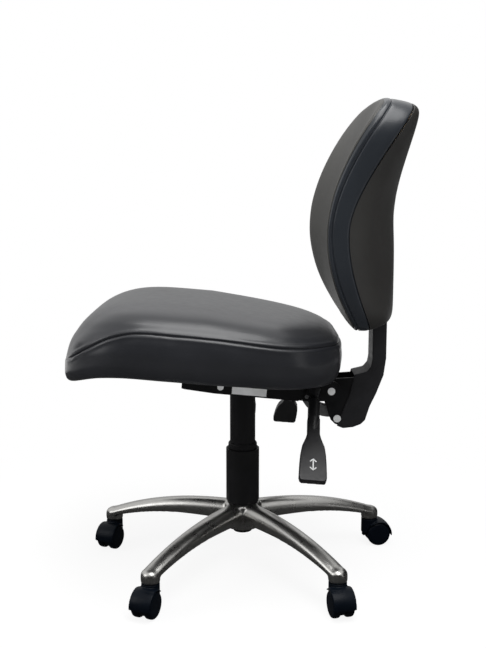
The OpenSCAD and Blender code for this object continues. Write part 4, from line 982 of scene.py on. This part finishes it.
PLATE_X = (0.0580, 0.0583)
PLATE_Y = (-0.022, 0.046)
PLATE_Z = (0.0042, 0.0222)


def blank_plate():
    corners = box_corners(PLATE_X, PLATE_Y, PLATE_Z)
    obj = add_mesh("blank_plate", from_lean(corners), BOX_FACES, [white_plastic], False)
    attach(obj, "seat")


# Studio: a white floor and world, two soft lamps, and grey boards that glossy surfaces mirror

FLOOR_R = 6.0
FLOOR_POINTS = 64
FLOOR_GREY = 0.16
FLOOR_GLOW = 0.89
FLOOR_FADE = (0.45, 0.95)
WORLD_FILL = 0.30
# Name, place, target, width and height, then a lamp's watts or a board's grey
LAMPS = [
    ("top_box", (0.6, 0.2, 2.4), (0, 0, 0.5), (1.2, 2.4), 46),
    ("front_box", (1.0, -2.3, 1.5), (0, 0, 0.6), (1.2, 1.6), 12)]
# These boards glow and only glossy rays see them, so they put painted reflections into glossy surfaces: dark ones
# round the chair and a light one on the far side. low_flag under the chair is a painted shadow of the chair on the
# floor, as glossy surfaces see it.
FLAGS = [
    ("camera_flag", (3.2, 0.0, 0.9), (0, 0, 0.6), (7.0, 3.0), 0.015),
    ("rear_flag", (-0.6, 2.4, 0.9), (0, 0, 0.5), (5.4, 3.0), 0.02),
    ("front_flag", (0.6, -3.0, 0.4), (0, 0, 0.4), (6.0, 1.5), 0.03),
    ("far_flag", (-3.2, 0.3, 0.9), (0, 0.3, 0.9), (6.0, 1.8), 0.55),
    ("low_flag", (0.9, 0.0, 0.001), (0.9, 0, 0.9), (5.0, 4.6), 0.05)]


def aim(obj, location, target):
    """Puts a lamp or board at location, facing target."""
    obj.location = location
    obj.rotation_euler = (Vector(target) - Vector(location)).to_track_quat("-Z", "Y").to_euler()


def area_lamp(name, location, target, size, energy):
    data = bpy.data.lights.new(name, "AREA")
    data.shape = "RECTANGLE"
    data.size, data.size_y = size
    data.energy = energy
    lamp = bpy.data.objects.new(name, data)
    bpy.context.scene.collection.objects.link(lamp)
    aim(lamp, location, target)


def flag(name, location, target, size, grey):
    """A glowing board of constant grey that is a painted reflection: the camera, the diffuse light and the lamps'
    shadows don't see it.
    """
    material = bpy.data.materials.new(name)
    tree = Tree(material)
    tree.nodes.clear()
    glow = tree.add("ShaderNodeEmission", Color=(grey, grey, grey, 1))
    tree.link(glow.outputs[0], tree.add("ShaderNodeOutputMaterial").inputs[0])
    material.cycles.emission_sampling = "NONE"
    w, h = size[0] / 2, size[1] / 2
    obj = add_mesh(name, [(-w, -h, 0), (w, -h, 0), (w, h, 0), (-w, h, 0)], [(0, 1, 2, 3)], [material], False)
    aim(obj, location, target)
    obj.visible_camera = False
    obj.visible_diffuse = False
    obj.visible_shadow = False


def seen_directly(tree):
    """1 for camera, glossy and transmission rays, which see the white background."""
    path = tree.add("ShaderNodeLightPath")
    first = tree.add("ShaderNodeMath", operation="MAXIMUM")
    tree.link(path.outputs["Is Camera Ray"], first.inputs[0])
    tree.link(path.outputs["Is Glossy Ray"], first.inputs[1])
    seen = tree.add("ShaderNodeMath", operation="MAXIMUM")
    tree.link(first.outputs[0], seen.inputs[0])
    tree.link(path.outputs["Is Transmission Ray"], seen.inputs[1])
    return seen.outputs[0]


def lit_floor(tree):
    """A floor that takes light and shadow, and glows towards the rays that see it directly."""
    diffuse = tree.add("ShaderNodeBsdfDiffuse", Color=(FLOOR_GREY, FLOOR_GREY, FLOOR_GREY, 1))
    scaled = tree.add("ShaderNodeMath", operation="MULTIPLY")
    scaled.inputs[1].default_value = FLOOR_GLOW
    tree.link(seen_directly(tree), scaled.inputs[0])
    glow = tree.add("ShaderNodeEmission")
    tree.link(scaled.outputs[0], glow.inputs["Strength"])
    both = tree.add("ShaderNodeAddShader")
    tree.link(diffuse.outputs[0], both.inputs[0])
    tree.link(glow.outputs[0], both.inputs[1])
    return both.outputs[0]


def outwards_fade(tree):
    """0 near the chair and 1 far out on the floor."""
    coords = tree.add("ShaderNodeTexCoord")
    length = tree.add("ShaderNodeVectorMath", operation="LENGTH")
    tree.link(coords.outputs["Object"], length.inputs[0])
    fade = tree.add("ShaderNodeMapRange", interpolation_type="SMOOTHSTEP",
                    From_Min=FLOOR_FADE[0], From_Max=FLOOR_FADE[1])
    tree.link(length.outputs["Value"], fade.inputs["Value"])
    return fade.outputs[0]


def add_floor():
    material = bpy.data.materials.new("floor")
    tree = Tree(material)
    tree.nodes.clear()
    white = tree.add("ShaderNodeEmission", Strength=1.0)
    mix = tree.add("ShaderNodeMixShader")
    tree.link(outwards_fade(tree), mix.inputs[0])
    tree.link(lit_floor(tree), mix.inputs[1])
    tree.link(white.outputs[0], mix.inputs[2])
    tree.link(mix.outputs[0], tree.add("ShaderNodeOutputMaterial").inputs[0])
    ring = [(FLOOR_R * math.cos(a), FLOOR_R * math.sin(a), 0) for a in round_angles(FLOOR_POINTS)]
    floor = add_mesh("floor", ring, [tuple(range(FLOOR_POINTS))], [material], False)


def add_world():
    world = bpy.data.worlds.new("studio")
    tree = Tree(world)
    background = tree.nodes["Background"]
    background.inputs["Color"].default_value = (1, 1, 1, 1)
    mix = tree.add("ShaderNodeMix", data_type="FLOAT", A=WORLD_FILL, B=1.0)
    tree.link(seen_directly(tree), mix.inputs["Factor"])
    tree.link(mix.outputs["Result"], background.inputs["Strength"])
    bpy.context.scene.world = world


def add_studio():
    add_floor()
    add_world()
    for lamp in LAMPS:
        area_lamp(*lamp)
    for board in FLAGS:
        flag(*board)


add_camera()
finish_nodes()
seat_cushion()
back_cushion()
back_shell()
star_base()
castors()
levers()
lever_marks()
blank_plate()
softened("j_bar_cover", sleeve_plastic, *SLEEVE_EASE)
add_studio()

scene = bpy.context.scene
scene.view_settings.view_transform = "Standard"
